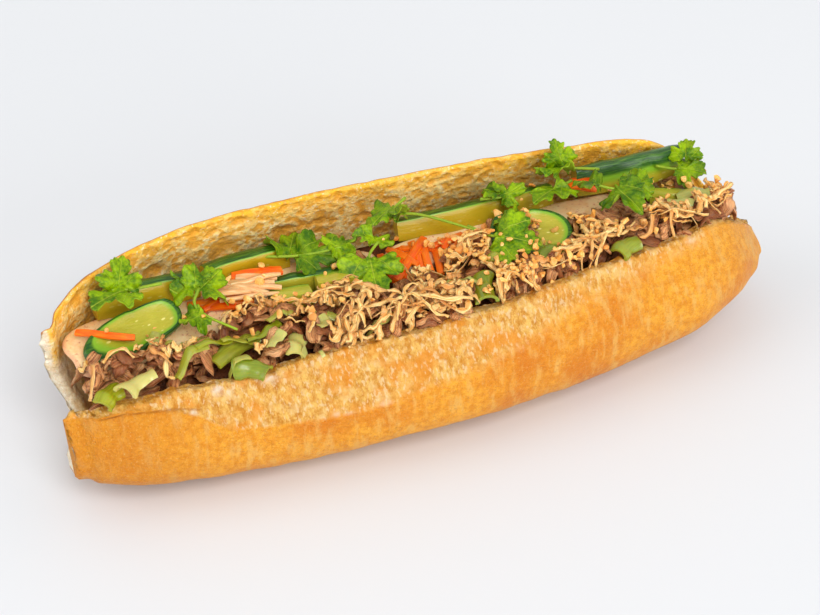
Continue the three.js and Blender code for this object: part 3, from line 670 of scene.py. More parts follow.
def joined(name, parts, material, slot, sharp_angle=None):
    """One mesh object of many pieces, each given as its rings and its named values."""
    faces, start = [], 0
    for rings, _ in parts:
        faces += [[corner + start for corner in face] for face in ring_faces(*rings.shape[:2])]
        start += rings.shape[0] * rings.shape[1]
    points = np.concatenate([rings.reshape(-1, 3) for rings, _ in parts])
    values = {}
    for label, sample in parts[0][1].items():
        wide = np.shape(sample)[2:]
        values[label] = np.concatenate([
            np.broadcast_to(own[label], rings.shape[:2] + wide).reshape(-1, *wide)
            for rings, own in parts
        ])
    piece = make_piece(name, points, faces, material, slot, **values)
    if sharp_angle is not None:
        piece.data.set_sharp_from_angle(angle=math.radians(sharp_angle))
    return piece


# ---- Pork roll -----------------------------------------------------------------------------------
# Oval slices of steamed pork roll, pale pink and fine grained, with a thin darker edge. They are laid
# along the back before everything else.

pork, tree, shader = new_material("pork_roll", 0.42, subsurface_weight=0.15, subsurface_scale=0.004)
place = put(tree, "TexCoord").outputs["Object"]
pork_colour, _ = mottle(tree, place, 120, paint(255, 222, 170), paint(250, 200, 138))
pores = noise(tree, place, 700, 2)
pork_colour = tinted(tree, pork_colour, paint(226, 160, 120), pores, 0.3, 0.4, 1, 0)
pork_colour = mixed(tree, attribute(tree, "edge"), pork_colour, paint(232, 172, 130))
finish_material(tree, shader, pork_colour, noise(tree, place, 800, 3), 0.0006, 0.35)

pork_slices = [
    # length, width, turn, roll
    (60, 25, 3, 12), (58, 15, -2, 8), (52, 15, -3, 8), (50, 15, -6, 8),
]
slice_thick = 3
angles = np.linspace(0, 2 * np.pi, 72, endpoint=False)
shrink = np.array([0.04, 0.4, 0.8, 0.95, 0.985, 1, 1, 0.985, 0.95, 0.8, 0.4, 0.04])[:, None]
height = np.array([-1, -1, -1, -0.9, -0.6, -0.2, 0.2, 0.6, 0.9, 1, 1, 1])[:, None] * (slice_thick / 2)
rind = np.where(shrink > 0.97, 0.8, 0.0)
for number, (length, width, turn, roll) in enumerate(pork_slices, start=1):
    reach = 1 + 0.02 * np.sin(3 * angles + number) + 0.012 * np.sin(7 * angles)
    reach *= (np.cos(angles) ** 4 + np.sin(angles) ** 4) ** -0.25
    rings = np.stack([
        shrink * np.cos(angles) * reach * length / 2,
        shrink * np.sin(angles) * reach * width / 2,
        height + 0 * angles,
    ], axis=-1)
    rings[..., 2] -= 0.004 * rings[..., 1] ** 2
    rings[..., 2] += 0.5 * lumps(rings, 18, number, 2)
    rings = moved_onto(turned(rings, turn, roll), f"pork_roll_{number}")
    raise_pile(rings, keep=True)
    piece = joined(f"pork_slice_{number}", [(rings, {"edge": rind})], pork, "pork_roll")
    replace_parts(piece, f"pork_roll_{number}")


# ---- Cucumber ------------------------------------------------------------------------------------
# Spears with the dark skin left over their backs, and two slices cut lengthwise from the ends. The flesh
# is pale and wet, with soft seeds in the middle.

cucumber, tree, shader = new_material(
    "cucumber", 0.28, specular_ior_level=0.35, coat_weight=0.15, coat_roughness=0.2,
    subsurface_weight=0.12, subsurface_scale=0.003,
)
own = attribute(tree, "local", "Vector")
skin = attribute(tree, "skin")
long_own = stretched(tree, own, 0.25, 1, 1)
flesh_colour = mixed(tree, noise(tree, long_own, 0.8, 3), paint(202, 192, 66), paint(158, 158, 26))
flesh_colour = mixed(tree, attribute(tree, "warm"), flesh_colour, paint(190, 154, 12))
seed_cells = put(tree, "TexVoronoi", {"Vector": stretched(tree, own, 0.22, 0.5, 0.5), "Scale": 1.0})
seed_mask = ranged(tree, seed_cells.outputs["Distance"], 0.16, 0.24, 1, 0)
seed_mask = counted(tree, "MULTIPLY", seed_mask, attribute(tree, "seeds"))
flesh_colour = mixed(tree, seed_mask, flesh_colour, paint(232, 224, 130))
skin_streaks = noise(tree, stretched(tree, own, 0.12, 1.2, 1.2), 1.2, 3)
skin_colour = mixed(tree, ranged(tree, skin_streaks, 0.4, 0.68), paint(22, 74, 10), paint(70, 118, 18))
skin_colour = tinted(tree, skin_colour, paint(120, 156, 34), skin_streaks, 0.66, 0.74, 0, 1)
cucumber_colour = tinted(tree, flesh_colour, paint(130, 178, 34), skin, 0.15, 0.55, 0, 1)
cucumber_colour = tinted(tree, cucumber_colour, skin_colour, skin, 0.6, 0.85, 0, 1)
wet_bumps = noise(tree, stretched(tree, own, 0.4, 1, 1), 1.6, 3)
finish_material(tree, shader, cucumber_colour, wet_bumps, 0.0004, 0.4)

spears = [
    # number, length, height, depth, bend, turn, roll, warmth of the flesh
    (1, 38, 10, 8, 1, -3, -8, 0.8), (2, 32, 9.5, 8, 1, 1, -6, 0.9), (3, 28, 6.5, 6, -1, -8, -8, 0.2),
    (4, 14, 8, 11, 0, -8, -12, 0), (5, 62, 9, 8, -2, -3, -16, 0.7), (6, 44, 12, 8, -1, -4, -14, 0.3),
    (7, 15, 8, 8, 0, -30, -12, -0.4), (8, 13, 6, 8, 0, -38, -14, -0.4), (11, 13, 7, 9, 0, -10, -10, 0.2),
]
# From the low back edge up over the skin to the front of the top, then down the cut faces.
wedge = np.array([
    (0.32, -0.46), (0.46, -0.2), (0.5, 0.12), (0.43, 0.32), (0.3, 0.43), (0.1, 0.5), (-0.12, 0.52),
    (-0.3, 0.5), (-0.46, 0.47), (-0.5, 0.42), (-0.51, 0.2), (-0.51, -0.1), (-0.51, -0.4), (-0.47, -0.49),
    (-0.3, -0.5), (0, -0.49),
])
for number, length, height, depth, bend, turn, roll, warm in spears:
    skin_at = np.array([1, 1, 1, 1, 1, 1, 1, 1, 0.75, 0.3, 0, 0, 0, 0, 0, 0.2])
    if number == 6:
        skin_at[8:12] = (1, 1, 0.9, 0.4)
    if number in (4, 7, 8, 11):
        skin_at[4:9] = (0.8, 0.4, 0.2, 0, 0)
    t = np.linspace(0, 1, 24)
    spine = np.stack([(t - 0.5) * length, bend * (1 - (2 * t - 1) ** 2), 0 * t], axis=-1)
    swell = 0.88 + 0.12 * np.sin(np.pi * t)
    rings, local = swept(spine, wedge * (depth, height), swell, 0, (0.02, 0.08, 0.35, 0.8))
    skin_grid = np.broadcast_to(skin_at, rings.shape[:2]).copy()
    skin_grid[:3] = 0
    skin_grid[-3:] = 0
    skin_grid[3] *= 0.9
    skin_grid[-4] *= 0.9
    rings += 0.25 * lumps(rings, 6, number, 2)[..., None]
    rings = moved_onto(turned(rings, turn, roll), f"cucumber_{number}")
    raise_pile(rings, keep=True)
    core_side = np.clip(-local[..., 2] / height + 0.2, 0, 1)
    values = {"local": local, "skin": skin_grid, "seeds": core_side, "warm": warm}
    piece = joined(f"cucumber_spear_{number}", [(rings, values)], cucumber, "cucumber", 38)
    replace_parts(piece, f"cucumber_{number}")

end_slices = [
    # number, length, width, turn, roll, tilt, where round the rim the skin shows most
    (9, 41, 16, 12, 28, -6, 0.7), (10, 33, 20, 158, -26, 0, -2.2),
]
angles = np.linspace(0, 2 * np.pi, 80, endpoint=False)[::-1]
shrink = np.array([0.05, 0.45, 0.75, 0.9, 0.98, 1, 0.99, 0.96, 0.92, 0.85, 0.76, 0.5, 0.05])[:, None]
level = np.array([-3.6, -3.5, -3.1, -2.4, -1.2, 0.2, 1.4, 2.0, 2.1, 1.9, 1.5, 1.1, 1.0])[:, None]
on_top = (np.arange(13) > 8)[:, None]
skin_ring = np.array([1] * 8 + [0.95, 0.5, 0.2, 0, 0])[:, None]
more_skin = np.array([0] * 8 + [0.1, 0.6, 0.65, 0.35, 0])[:, None]
seeds = np.array([0] * 10 + [0.7, 1, 1])[:, None]
for number, length, width, turn, roll, tilt, facing in end_slices:
    # A long oval with the far end cut square.
    rim_x = -np.abs(np.cos(angles)) ** 0.8 * np.sign(np.cos(angles)) * length / 2
    rim_x = np.where(rim_x > 0.36 * length, 0.36 * length + 0.45 * (rim_x - 0.36 * length), rim_x)
    rim_y = np.sin(angles) * width / 2 * np.where(rim_x > 0, 0.92, 1)
    rings = np.stack([shrink * rim_x, shrink * rim_y, level + 0 * angles], axis=-1)
    rings[..., 2] += 2 * (rings[..., 0] / length) ** 2
    rings[..., 2] += 0.25 * lumps(rings, 7, number, 3) * on_top
    local = rings.copy()
    skin_grid = np.clip(skin_ring + np.clip(np.cos(angles + facing), 0, 1) * more_skin, 0, 1)
    rings = moved_onto(turned(rings, turn, roll, tilt), f"cucumber_{number}", lift=0.5)
    raise_pile(rings)
    bare = (local[..., 0] < -0.1 * length) | (local[..., 1] > 0.05 * width)
    kept[cells_of(rings[bare])] = True
    values = {"local": local, "skin": skin_grid, "seeds": seeds, "warm": 0.1}
    piece = joined(f"cucumber_slice_{number}", [(rings, values)], cucumber, "cucumber")
    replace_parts(piece, f"cucumber_{number}")


# ---- Carrot and daikon ---------------------------------------------------------------------------
# Pickled shreds, cut flat and limp, glossy with brine: bright carrot, and daikon that took on its colour.
# Each is a thin strip swept along a bent and twisted line.


def shred_material(name, dark, light, tint=None):
    """Wet shreds streaked along their length, and some of them changed to a tint by their tone."""
    material, tree, shader = new_material(
        name, 0.3, specular_ior_level=0.3, subsurface_weight=0.2, subsurface_scale=0.002,
    )
    own = attribute(tree, "local", "Vector")
    grain = noise(tree, stretched(tree, own, 0.15, 1.5, 1.5), 1.3, 3)
    colour = mixed(tree, ranged(tree, grain, 0.35, 0.7), dark, light)
    if tint:
        colour = mixed(tree, counted(tree, "MULTIPLY", attribute(tree, "tone"), 0.5), colour, tint)
    finish_material(tree, shader, colour, grain, 0.0004, 0.5)
    return material


carrot = shred_material("carrot", paint(246, 74, 0), paint(252, 122, 4), paint(255, 156, 44))
daikon = shred_material("daikon", paint(242, 172, 110), paint(255, 214, 158))


def shred(start, end, width, thick):
    """A flat strip from one place to another, a little bent and twisted."""
    start, end = np.array(start, float), np.array(end, float)
    t = np.linspace(0, 1, 14)
    spine = start + (end - start) * t[:, None]
    side = np.cross(end - start, (0, 0, 1))
    side /= np.linalg.norm(side)
    spine += side * dice.uniform(-1.2, 1.2) * np.sin(np.pi * t)[:, None]
    spine[:, 2] += 0.8 * np.sin(np.pi * t) + dice.uniform(-0.4, 0.4) * np.sin(2 * np.pi * t)
    corners = np.array([
        (1, -0.6), (1, 0.6), (0.8, 1), (0, 1.05), (-0.8, 1), (-1, 0.6), (-1, -0.6), (-0.8, -1), (0.8, -1),
    ])
    swell = 0.85 + 0.15 * np.sin(np.pi * t) + 0.06 * np.sin(9 * t + dice.uniform(0, 6))
    twist = dice.uniform(-0.5, 0.5) + dice.uniform(-0.6, 0.6) * t
    rings, local = swept(spine, corners * (width / 2, thick / 2), swell, twist, (0.1, 0.5))
    return rings, {"local": local, "tone": dice.uniform(0, 1)}


carrot_groups = [
    # the strips of each group: from x y z to x y z, width
    [((-127, 2, 0), (-110, -10, 0.6), 2.6)],
    [
        ((-87, 5, 0), (-65, -2.5, 0.5), 3.6), ((-83, 0, 0.5), (-68, 1.5, 1), 2.8),
        ((-85, 3, 0), (-72, -3, 0), 2.4),
    ],
    [((-68, 11, 0), (-51, 6, 0.8), 4.4), ((-66, 8, 0), (-53, 9, 0), 3)],
    [
        ((7, 8, 2.2), (-13, -11, 1.8), 3.4), ((-11, 7, 0.6), (-12, -13, 0.2), 3.2),
        ((-4, 7, 1.2), (-9, -14, 0.4), 3.4), ((2, 8, 1.6), (-5, -16, 0.4), 3.2),
        ((6, 6, 1.6), (0, -15, 0.8), 3), ((9, 3, 0.8), (4, -13, 0.4), 2.8),
        ((-13, 3, 1.4), (4, 0, 1.6), 2.8), ((-8, 7, 2.4), (-2, -6, 2), 2.6),
        ((9, 1, 1.2), (-3, 7, 1.2), 2.6),
    ],
    [
        ((8, -2, 0), (25, -6, 0.6), 3.2), ((13, -9, 0.4), (23, -2, 0.6), 3),
        ((10, -6, 0.4), (20, -1, 1), 2.6),
    ],
    [((63, 7, 0), (73, 0, 0), 3.2), ((66, 8, 0.4), (74, 3, 0.6), 2.8)],
]
for number, group in enumerate(carrot_groups, start=1):
    parts = [shred(start, end, width, 1.8) for start, end, width in group]
    parts = parts_moved_onto(parts, f"carrot_{number}")
    for rings, _ in parts:
        raise_pile(rings, keep=True)
    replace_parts(joined(f"carrot_shreds_{number}", parts, carrot, "carrot", 50), f"carrot_{number}")

daikon_strips = [
    # from x y z to x y z
    ((-78, 7, 0), (-55, -1, 0.4)), ((-77, 4, 0.6), (-54, -5, 0.6)), ((-76, 0, 0), (-57, -1, 1)),
    ((-72, 7, 1), (-60, -7, 1)), ((-76, -2, 0), (-56, -7, 0)), ((-66, 8, 0), (-53, 2, 0)),
    ((-70, 3, 1.6), (-52, 2, 1.2)), ((-79, 3, 0), (-64, -3, 1)),
]
parts = [shred(start, end, 2.7, 1.5) for start, end in daikon_strips]
parts = [(rings, {"local": own["local"]}) for rings, own in parts_moved_onto(parts, "daikon_1")]
for rings, _ in parts:
    raise_pile(rings, keep=True)
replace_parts(joined("daikon_shreds", parts, daikon, "daikon", 50), "daikon_1")


# ---- Spring onion --------------------------------------------------------------------------------
# Cut lengths of spring onion, wilted and split open, some pale and some green. Each is an arc of tube
# wall swept along a slightly bent line.

onion, tree, shader = new_material(
    "spring_onion", 0.3, coat_weight=0.2, coat_roughness=0.2, subsurface_weight=0.25, subsurface_scale=0.004,
)
own = attribute(tree, "local", "Vector")
ribs = noise(tree, stretched(tree, own, 0.12, 1.2, 1.2), 1.1, 3)
onion_colour = mixed(tree, ranged(tree, ribs, 0.3, 0.75), paint(134, 140, 8), paint(168, 170, 32))
onion_colour = mixed(tree, attribute(tree, "pale"), onion_colour, paint(208, 196, 116))
onion_colour = mixed(tree, attribute(tree, "dark"), onion_colour, paint(92, 122, 8))
finish_material(tree, shader, onion_colour, ribs, 0.0005, 0.2)

onions = [
    # length, width, turn, roll, paleness, darkness
    (10, 7, 35, 20, 0, 0.1), (13, 8, 20, -20, 0.8, 0), (22, 6, 24, 10, 0.1, 0),
    (12, 7, -35, 20, 0.1, 0.6), (10, 7, 60, 15, 0.7, 0), (9, 7, 10, 0, 0.6, 0),
    (14, 7, -8, 25, 0.5, 0.1), (15, 8, 68, -15, 0, 0.5), (15, 7, 6, -10, 0, 0.6),
    (11, 7, 20, 15, 0.1, 0.4),
]


def onion_length(length, width, arc_from, arc_to, wall, bend):
    """A cut length of split tube along X, its wall an arc between two angles in degrees."""
    t = np.linspace(0, 1, 16)
    spine = np.stack([(t - 0.5) * length, bend * (1 - (2 * t - 1) ** 2), 0.3 * np.sin(5 * t)], axis=-1)
    around = np.radians(np.linspace(arc_from, arc_to, 14))
    circle = np.stack([np.cos(around), np.sin(around)], axis=-1)
    squash = np.array((1, 0.75))
    section = np.concatenate([circle * width / 2, circle[::-1] * (width / 2 - wall)]) * squash
    swell = 1 + 0.1 * np.sin(6 * t + width) + 0.06 * np.sin(13 * t + length)
    rings, local = swept(spine, section, swell, 0.35 * np.sin(3 * t + width), (0.02, 0.05))
    rings[..., 2] += 0.5 * lumps(rings, 5, length, 2)
    return rings, local


for number, (length, width, turn, roll, pale_share, dark_share) in enumerate(onions, start=1):
    rings, local = onion_length(length, width, -5, 185, 1.1, 1.0)
    rings = moved_onto(turned(rings, turn, roll), f"spring_onion_{number}", lift=0.8)
    raise_pile(rings, keep=True)
    values = {"local": local, "pale": pale_share, "dark": dark_share}
    piece = joined(f"onion_length_{number}", [(rings, values)], onion, "spring_onion", 50)
    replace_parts(piece, f"spring_onion_{number}")


# ---- Beef ----------------------------------------------------------------------------------------
# Thin slices of stir-fried beef, crumpled and torn along the grain, brown with paler patches and wet
# with sauce. A dark core stands for what lies deeper; its dark colour is painted shade for the gaps, where
# nothing can be told apart.

beef, tree, shader = new_material(
    "beef", 0.36, specular_ior_level=0.35, coat_weight=0.15, coat_roughness=0.25,
    subsurface_weight=0.1, subsurface_scale=0.003,
)
own = attribute(tree, "local", "Vector")
fibres = noise(tree, stretched(tree, own, 0.12, 1.0, 1.0), 1.9, 4, 0.65)
beef_colour = mixed(tree, ranged(tree, fibres, 0.34, 0.64), paint(142, 68, 24), paint(244, 172, 108))
patch = noise(tree, own, 0.25, 2)
beef_colour = tinted(tree, beef_colour, paint(246, 188, 130), patch, 0.5, 0.66, 0, 0.7)
tone = attribute(tree, "tone")
beef_colour = tinted(tree, beef_colour, paint(130, 62, 26), tone, 0.45, 1, 0, 0.8)
finish_material(tree, shader, beef_colour, fibres, 0.0016, 0.9)

core_material, tree, shader = new_material("beef_in_shade", 0.5)
place = put(tree, "TexCoord").outputs["Object"]
# Painted shade: the core is painted dark brown, for the shade in the gaps deep between the pieces.
core_painted_shade, core_bumps = mottle(tree, place, 200, paint(136, 72, 26), paint(70, 28, 6))
finish_material(tree, shader, core_painted_shade, core_bumps, 0.003, 1)

# The core follows the inside of the wall round its sides and below, and the top of the filling above.
core_x = np.linspace(-129, 126, 150)
core_shares = np.linspace(filled_from, filled_to, 26)
shell = loaf_points(core_x, core_shares, np.full(26, 1.12))
inner = np.linspace(0, 1, 50)[1:-1]
lid = shell[:, -1:] + (shell[:, :1] - shell[:, -1:]) * inner[None, :, None]
lid[..., 2] = core_top[cells_of(lid)].reshape(lid.shape[:2]) - 0.6
core_rings = np.concatenate([shell, lid], axis=1)
core_rings[..., 2] += 0.9 * lumps(core_rings, 6, 3, 3)
core = joined("deep_filling_in_shade", [(core_rings, {})], core_material, "beef_heap")


def crumpled(length, width, thick, bend, curl):
    """A thin slice along X, curled across, twisted and crumpled, and where its grain runs."""
    t = np.linspace(0, 1, 12)
    wave = dice.uniform(0, 6, 4)
    spine = np.stack([
        (t - 0.5) * length,
        bend * (1 - (2 * t - 1) ** 2) + 0.8 * np.sin(7 * t + wave[0]),
        dice.uniform(0.3, 1.2) * np.sin(dice.uniform(4, 8) * t + wave[1]),
    ], axis=-1)
    u = np.linspace(1, -1, 6)
    bent = curl * u / 2
    line = np.stack([np.sin(bent), np.cos(bent) - 1], axis=-1) * width / curl
    out = np.stack([np.sin(bent), np.cos(bent)], axis=-1)
    out *= (thick / 2 * (1 - 0.7 * u**4) * (1 + 0.25 * np.sin(9 * u + wave[3])))[:, None]
    section = np.concatenate([line + out, (line - out)[::-1]])
    swell = (0.75 + 0.25 * np.sin(np.pi * t) ** 0.5) * (1 + 0.18 * np.sin(11 * t + wave[2]))
    twist = dice.uniform(-0.5, 0.5) + dice.uniform(-1.6, 1.6) * (t - 0.5)
    rings, local = swept(spine, section, swell, twist, (0.3, 0.75))
    seed = dice.uniform(0, 99)
    shifts = [lumps(rings, 3, seed + k, 3) for k in range(3)]
    rings += np.stack(shifts, axis=-1) * (1.2, 0.9, 0.9)
    return rings, local + seed


def fits(rings, limit):
    """Whether less than some share of a piece would lie on toppings that stay uncovered."""
    return kept[cells_of(rings)].mean() < limit


left_end, right_end = -136, 129
rim_reach = 5


def overhangs(rings, reach):
    """Whether a piece reaches too far out over the front rim or past the ends of the filling."""
    i, _ = cells_of(rings)
    past_front = front_y[i, 0] - rim_reach - reach > rings[..., 1].ravel()
    return past_front.any() or rings[..., 0].min() < left_end or rings[..., 0].max() > right_end


beef_passes = [
    # count, length from to, width from to, share of it that may lie on toppings
    (420, 8, 16, 4, 7.5, 0.22), (860, 5, 10, 3, 5.5, 0.34),
]
most_slices = 516
beef_ceiling = 58.5
slices = []
for count, short, long, narrow, wide, limit in beef_passes:
    for _ in range(count):
        x = dice.uniform(-129, 121)
        share = dice.uniform(0.0, 0.66) * (0.5 if x < -104 else 1)
        if dice.uniform() < 0.1 and x > -100:
            share = dice.uniform(0.5, 0.8)
        length, width = dice.uniform(short, long), dice.uniform(narrow, wide)
        thick = dice.uniform(1.3, 2.2)
        curl = dice.choice((-1, 1), p=(0.3, 0.7)) * dice.uniform(0.3, 1.6)
        rings, local = crumpled(length, width, thick, dice.uniform(-3, 3), curl)
        rings = turned(rings, dice.normal(0, 36), dice.uniform(-25, 25), dice.uniform(-8, 8))
        rings = draped(rings + (x, across_at(x, share), 0), drape=0.75, sink=0.9)
        if len(slices) == most_slices or rings[..., 2].max() > beef_ceiling:
            continue
        if not fits(rings, limit) or overhangs(rings, -2.5):
            continue
        raise_pile(rings)
        slices.append((rings, {"local": local, "tone": dice.uniform(0, 1)}))
beef_piece = joined("beef_slices", slices, beef, "beef_heap")


# ---- Onion shreds --------------------------------------------------------------------------------
# Small wilted shreds of the same onion lie between the slices of beef, some yellow-green, some pale.
# They are made as the cut lengths are, only narrower, and pressed flat.

onion_shreds = [
    # x, y, length, width, turn, paleness, darkness
    (-96, -25, 13, 4.5, 18, 0.1, 0.1), (-87, -22, 15, 4, 20, 0, 0.1), (-77, -20.5, 14, 4.5, 12, 0.1, 0),
    (-68, -19, 13, 4, 16, 0, 0.2), (-61, -18, 9, 3.5, -10, 0.2, 0), (-66, -27, 8, 4.5, 40, 0.7, 0),
    (-55, -33, 7, 4, -20, 0.8, 0), (-50, -28, 7, 4, 60, 0.6, 0), (0, -25, 11, 3.2, 10, 0.6, 0),
    (7, -26, 9, 3, -50, 0.5, 0.1), (-88, -14.5, 12, 3.4, -28, 0.2, 0.2), (-98, -16, 9, 4, 40, 0.3, 0.1),
    (-80, -29.5, 10, 4, 10, 0.3, 0), (22, -20, 9, 4, 30, 0.1, 0), (99, -19, 10, 5, -30, 0.6, 0),
    (108, -14, 12, 6, -20, 0.5, 0), (-104, -10, 8, 4, 60, 0.4, 0.1), (-46, -22, 8, 4, -35, 0.3, 0.1),
    (-30, -30, 9, 4, 15, 0.5, 0),
]
parts = []
for x, y, length, width, turn, pale_share, dark_share in onion_shreds:
    rings, local = onion_length(length, width, 20, 160, 0.8, dice.uniform(-2, 2))
    rings = turned(rings, turn, dice.uniform(-20, 20), dice.uniform(-6, 6)) * (1, 1, 0.7)
    rings = draped(rings + (x, y, 0), drape=0.7, sink=0.3)
    raise_pile(rings, keep=True)
    local = local + dice.uniform(0, 50)
    parts.append((rings, {"local": local, "pale": pale_share, "dark": dark_share}))
onion_piece = joined("onion_shreds", parts, onion, "beef_heap", 50)


# ---- Coriander -----------------------------------------------------------------------------------
# Fresh sprigs: thin lobed leaves with rounded teeth and fine veins, on pale stalks. Each leaf is a
# closed thin sheet, curled and ruffled, and each stalk is a thin tube.

leaf_material, tree, shader = new_material(
    "coriander_leaf", 0.45, specular_ior_level=0.22, subsurface_weight=0.1, subsurface_scale=0.002,
)
# Veins fan out from the base of the leaf.
own = attribute(tree, "local", "Vector")
parts_of = put(tree, "SeparateXYZ", {"Vector": own})
from_base = counted(tree, "ADD", parts_of.outputs[0], 0.5)
angle = counted(tree, "ARCTAN2", parts_of.outputs[1], from_base)
fan = counted(tree, "ABSOLUTE", counted(tree, "SINE", counted(tree, "MULTIPLY", angle, 4.6)))
reach = put(tree, "VectorMath", {0: own}, operation="LENGTH").outputs["Value"]
from_vein = counted(tree, "MULTIPLY", fan, counted(tree, "ADD", reach, 0.25))
vein = ranged(tree, from_vein, 0.0, 0.1, 1, 0)
place = put(tree, "TexCoord").outputs["Object"]
leaf_colour, _ = mottle(tree, place, 150, paint(150, 182, 0), paint(60, 104, 0))
leaf_colour = mixed(tree, attribute(tree, "tone"), leaf_colour, paint(34, 76, 0))
leaf_colour = mixed(tree, counted(tree, "MULTIPLY", vein, 0.45), leaf_colour, paint(196, 210, 70))
leaf_colour = mixed(tree, attribute(tree, "underside"), leaf_colour, paint(150, 176, 50))
blisters = noise(tree, place, 900, 2)
leaf_height = counted(tree, "SUBTRACT", blisters, counted(tree, "MULTIPLY", vein, 0.8))
finish_material(tree, shader, leaf_colour, leaf_height, 0.0005, 0.6)

# Half of a leaf's outline from its tip round to the stalk: degrees and reach.
leaf_outline = np.array([
    (0, 1.0), (5, 0.97), (9, 0.87), (15, 0.96), (20, 0.93), (25, 0.79), (31, 0.84), (37, 0.76),
    (43, 0.46), (49, 0.5), (57, 0.8), (63, 0.86), (69, 0.77), (76, 0.93), (84, 0.98), (90, 0.85),
    (97, 0.95), (104, 0.92), (110, 0.79), (118, 0.87), (126, 0.8), (134, 0.66), (142, 0.62),
    (151, 0.44), (163, 0.36), (172, 0.38), (180, 0.44),
])


def leaf(size, curl, wave):
    """A leaf with its stalk end at the origin, pointing along X: its rings, its flat place, its underside."""
    angles = np.linspace(-np.pi, np.pi, 108, endpoint=False)
    reach = np.interp(np.abs(np.degrees(angles)), leaf_outline[:, 0], leaf_outline[:, 1])
    wide_waver = 0.06 * np.sin(3 * angles + dice.uniform(0, 6))
    reach *= 1 + wide_waver + 0.04 * np.sin(7 * angles + dice.uniform(0, 6))
    shrink = np.array([0.02, 0.25, 0.5, 0.75, 0.93, 1.0])[:, None]
    flat_x = shrink * np.cos(angles) * reach
    flat_y = shrink * np.sin(angles) * reach
    # Each lobe is a gutter along its vein, and droops and ruffles towards its edge.
    rise = curl * flat_y**2 + 1.8 * (shrink * reach) * np.abs(np.sin(2.5 * angles)) - 1.2 * flat_x**2
    for strength, waves, power in ((1, 4, 2), (1.6, 2, 2), (1.3, 3, 2), (0.9, 11, 3)):
        rise += strength * wave * np.sin(waves * angles + dice.uniform(0, 6)) * shrink**power
    radius, thick = size / 2, 0.44
    stalk_end = 0.42
    top = np.stack([(flat_x + stalk_end) * radius, flat_y * radius, rise + thick / 2], axis=-1)
    low = top - (0, 0, thick)
    rings = np.concatenate([low, top[::-1]])
    flat = np.stack([flat_x, flat_y, 0 * flat_x], axis=-1)
    local = np.concatenate([flat, flat[::-1]])
    under = np.concatenate([np.ones(flat_x.shape), np.zeros(flat_x.shape)])
    return rings, local, under


def stalk(points):
    """A thin stalk through some points."""
    width = 1.1
    t = np.linspace(0, 1, 6 * len(points))
    curve = curve_through(np.array(points, float)[None], t)[0]
    angle = np.linspace(0, 2 * np.pi, 8, endpoint=False)
    section = np.stack([np.cos(angle), np.sin(angle)], axis=-1) * width / 2
    rings, _ = swept(curve, section, 1.1 - 0.3 * t, 0, (0.3, 0.8))
    return rings


def stem_point(points, share):
    """The place at some share along a stalk."""
    return curve_through(np.array(points, float)[None], np.array([share]))[0, 0]


# Each sprig: its stalk, and its leaves as size, place along it, turn, roll, tilt, curl and darkness.
sprigs = [
    ([(-88, 5, 0), (-99, 6.5, 0), (-105, 8, 0.5)], [
        (23, 0.5, 196, 8, -4, -2, 0.05), (17, 0.8, 60, 10, -34, -2, 0),
    ]),
    ([(-82, 4, 6), (-86, -2, 5), (-84, -8, 3), (-76, -16, 0)], [
        (21, 0.1, 35, 24, 0, -2, 0), (18, 0.03, 110, -10, 0, -2, 0.1), (14, 0.62, -165, 0, 8, -2, 0.1),
    ]),
    ([(-57, 10, 0), (-47, 5, 0.5), (-38, 2, 1.5), (-30, 1, 2)], [
        (20, 0.25, 60, 16, 0, -2, 0.3), (17, 0.75, 10, 10, 0, -2, 0), (20, 0.35, -22, 20, 0, -2, 0.4),
    ]),
    ([(-13, 0, 2), (-18, -4, 1), (-22, -10, 0)], [
        (25, 0.6, -105, 0, 12, -3, 0), (16, 0.15, 75, 30, 0, -2, 0),
    ]),
    ([(-3, 14, 4), (4, 10, 4), (14, 2, 2), (24, -8, 0)], [(14, 0.15, 165, 38, 0, -2, 0.2)]),
    ([(0, 13, 1), (-6, 10, 0), (-11, 7, -0.5)], [(17, 0.45, -155, 20, 0, -2, 0.3)]),
    ([(18, 2, 0), (24, -8, 0), (31, -6, 0.5)], [
        (25, 0.5, -42, 20, 0, -3, 0), (15, 0.95, 30, 10, 0, -2, 0.2),
    ]),
    ([(28, 8, 0), (35, 6, 0), (41, 7, 0)], [
        (15, 0.5, 10, 20, 0, -2, 0.1), (13, 0.6, 110, 20, 0, -2, 0.1),
    ]),
    ([(66, 4, 1), (59, 2, 1), (51, 0, 0.5)], [(21, 0.4, -160, 18, 0, -2, 0.1)]),
    ([(80, 4, 0), (70, 6, 2), (65, 8, 2.5)], [
        (19, 0.6, 165, 24, 0, -2, 0), (16, 0.85, 95, 0, -50, -2, 0),
    ]),
    ([(74, -3, 2), (80, -7, 1), (88, -8, 0)], [
        (20, 0.5, -80, 18, 0, -2, 0.4), (16, 0.9, 20, 15, 0, -2, 0.3), (15, 0.1, 140, 20, 0, -2, 0.5),
    ]),
    ([(101, 2, 0), (107, -3, 0), (112, -2, 1)], [
        (14, 0.95, 60, 0, -36, -2, 0), (16, 0.5, -40, 15, 0, -2, 0.2),
    ]),
]
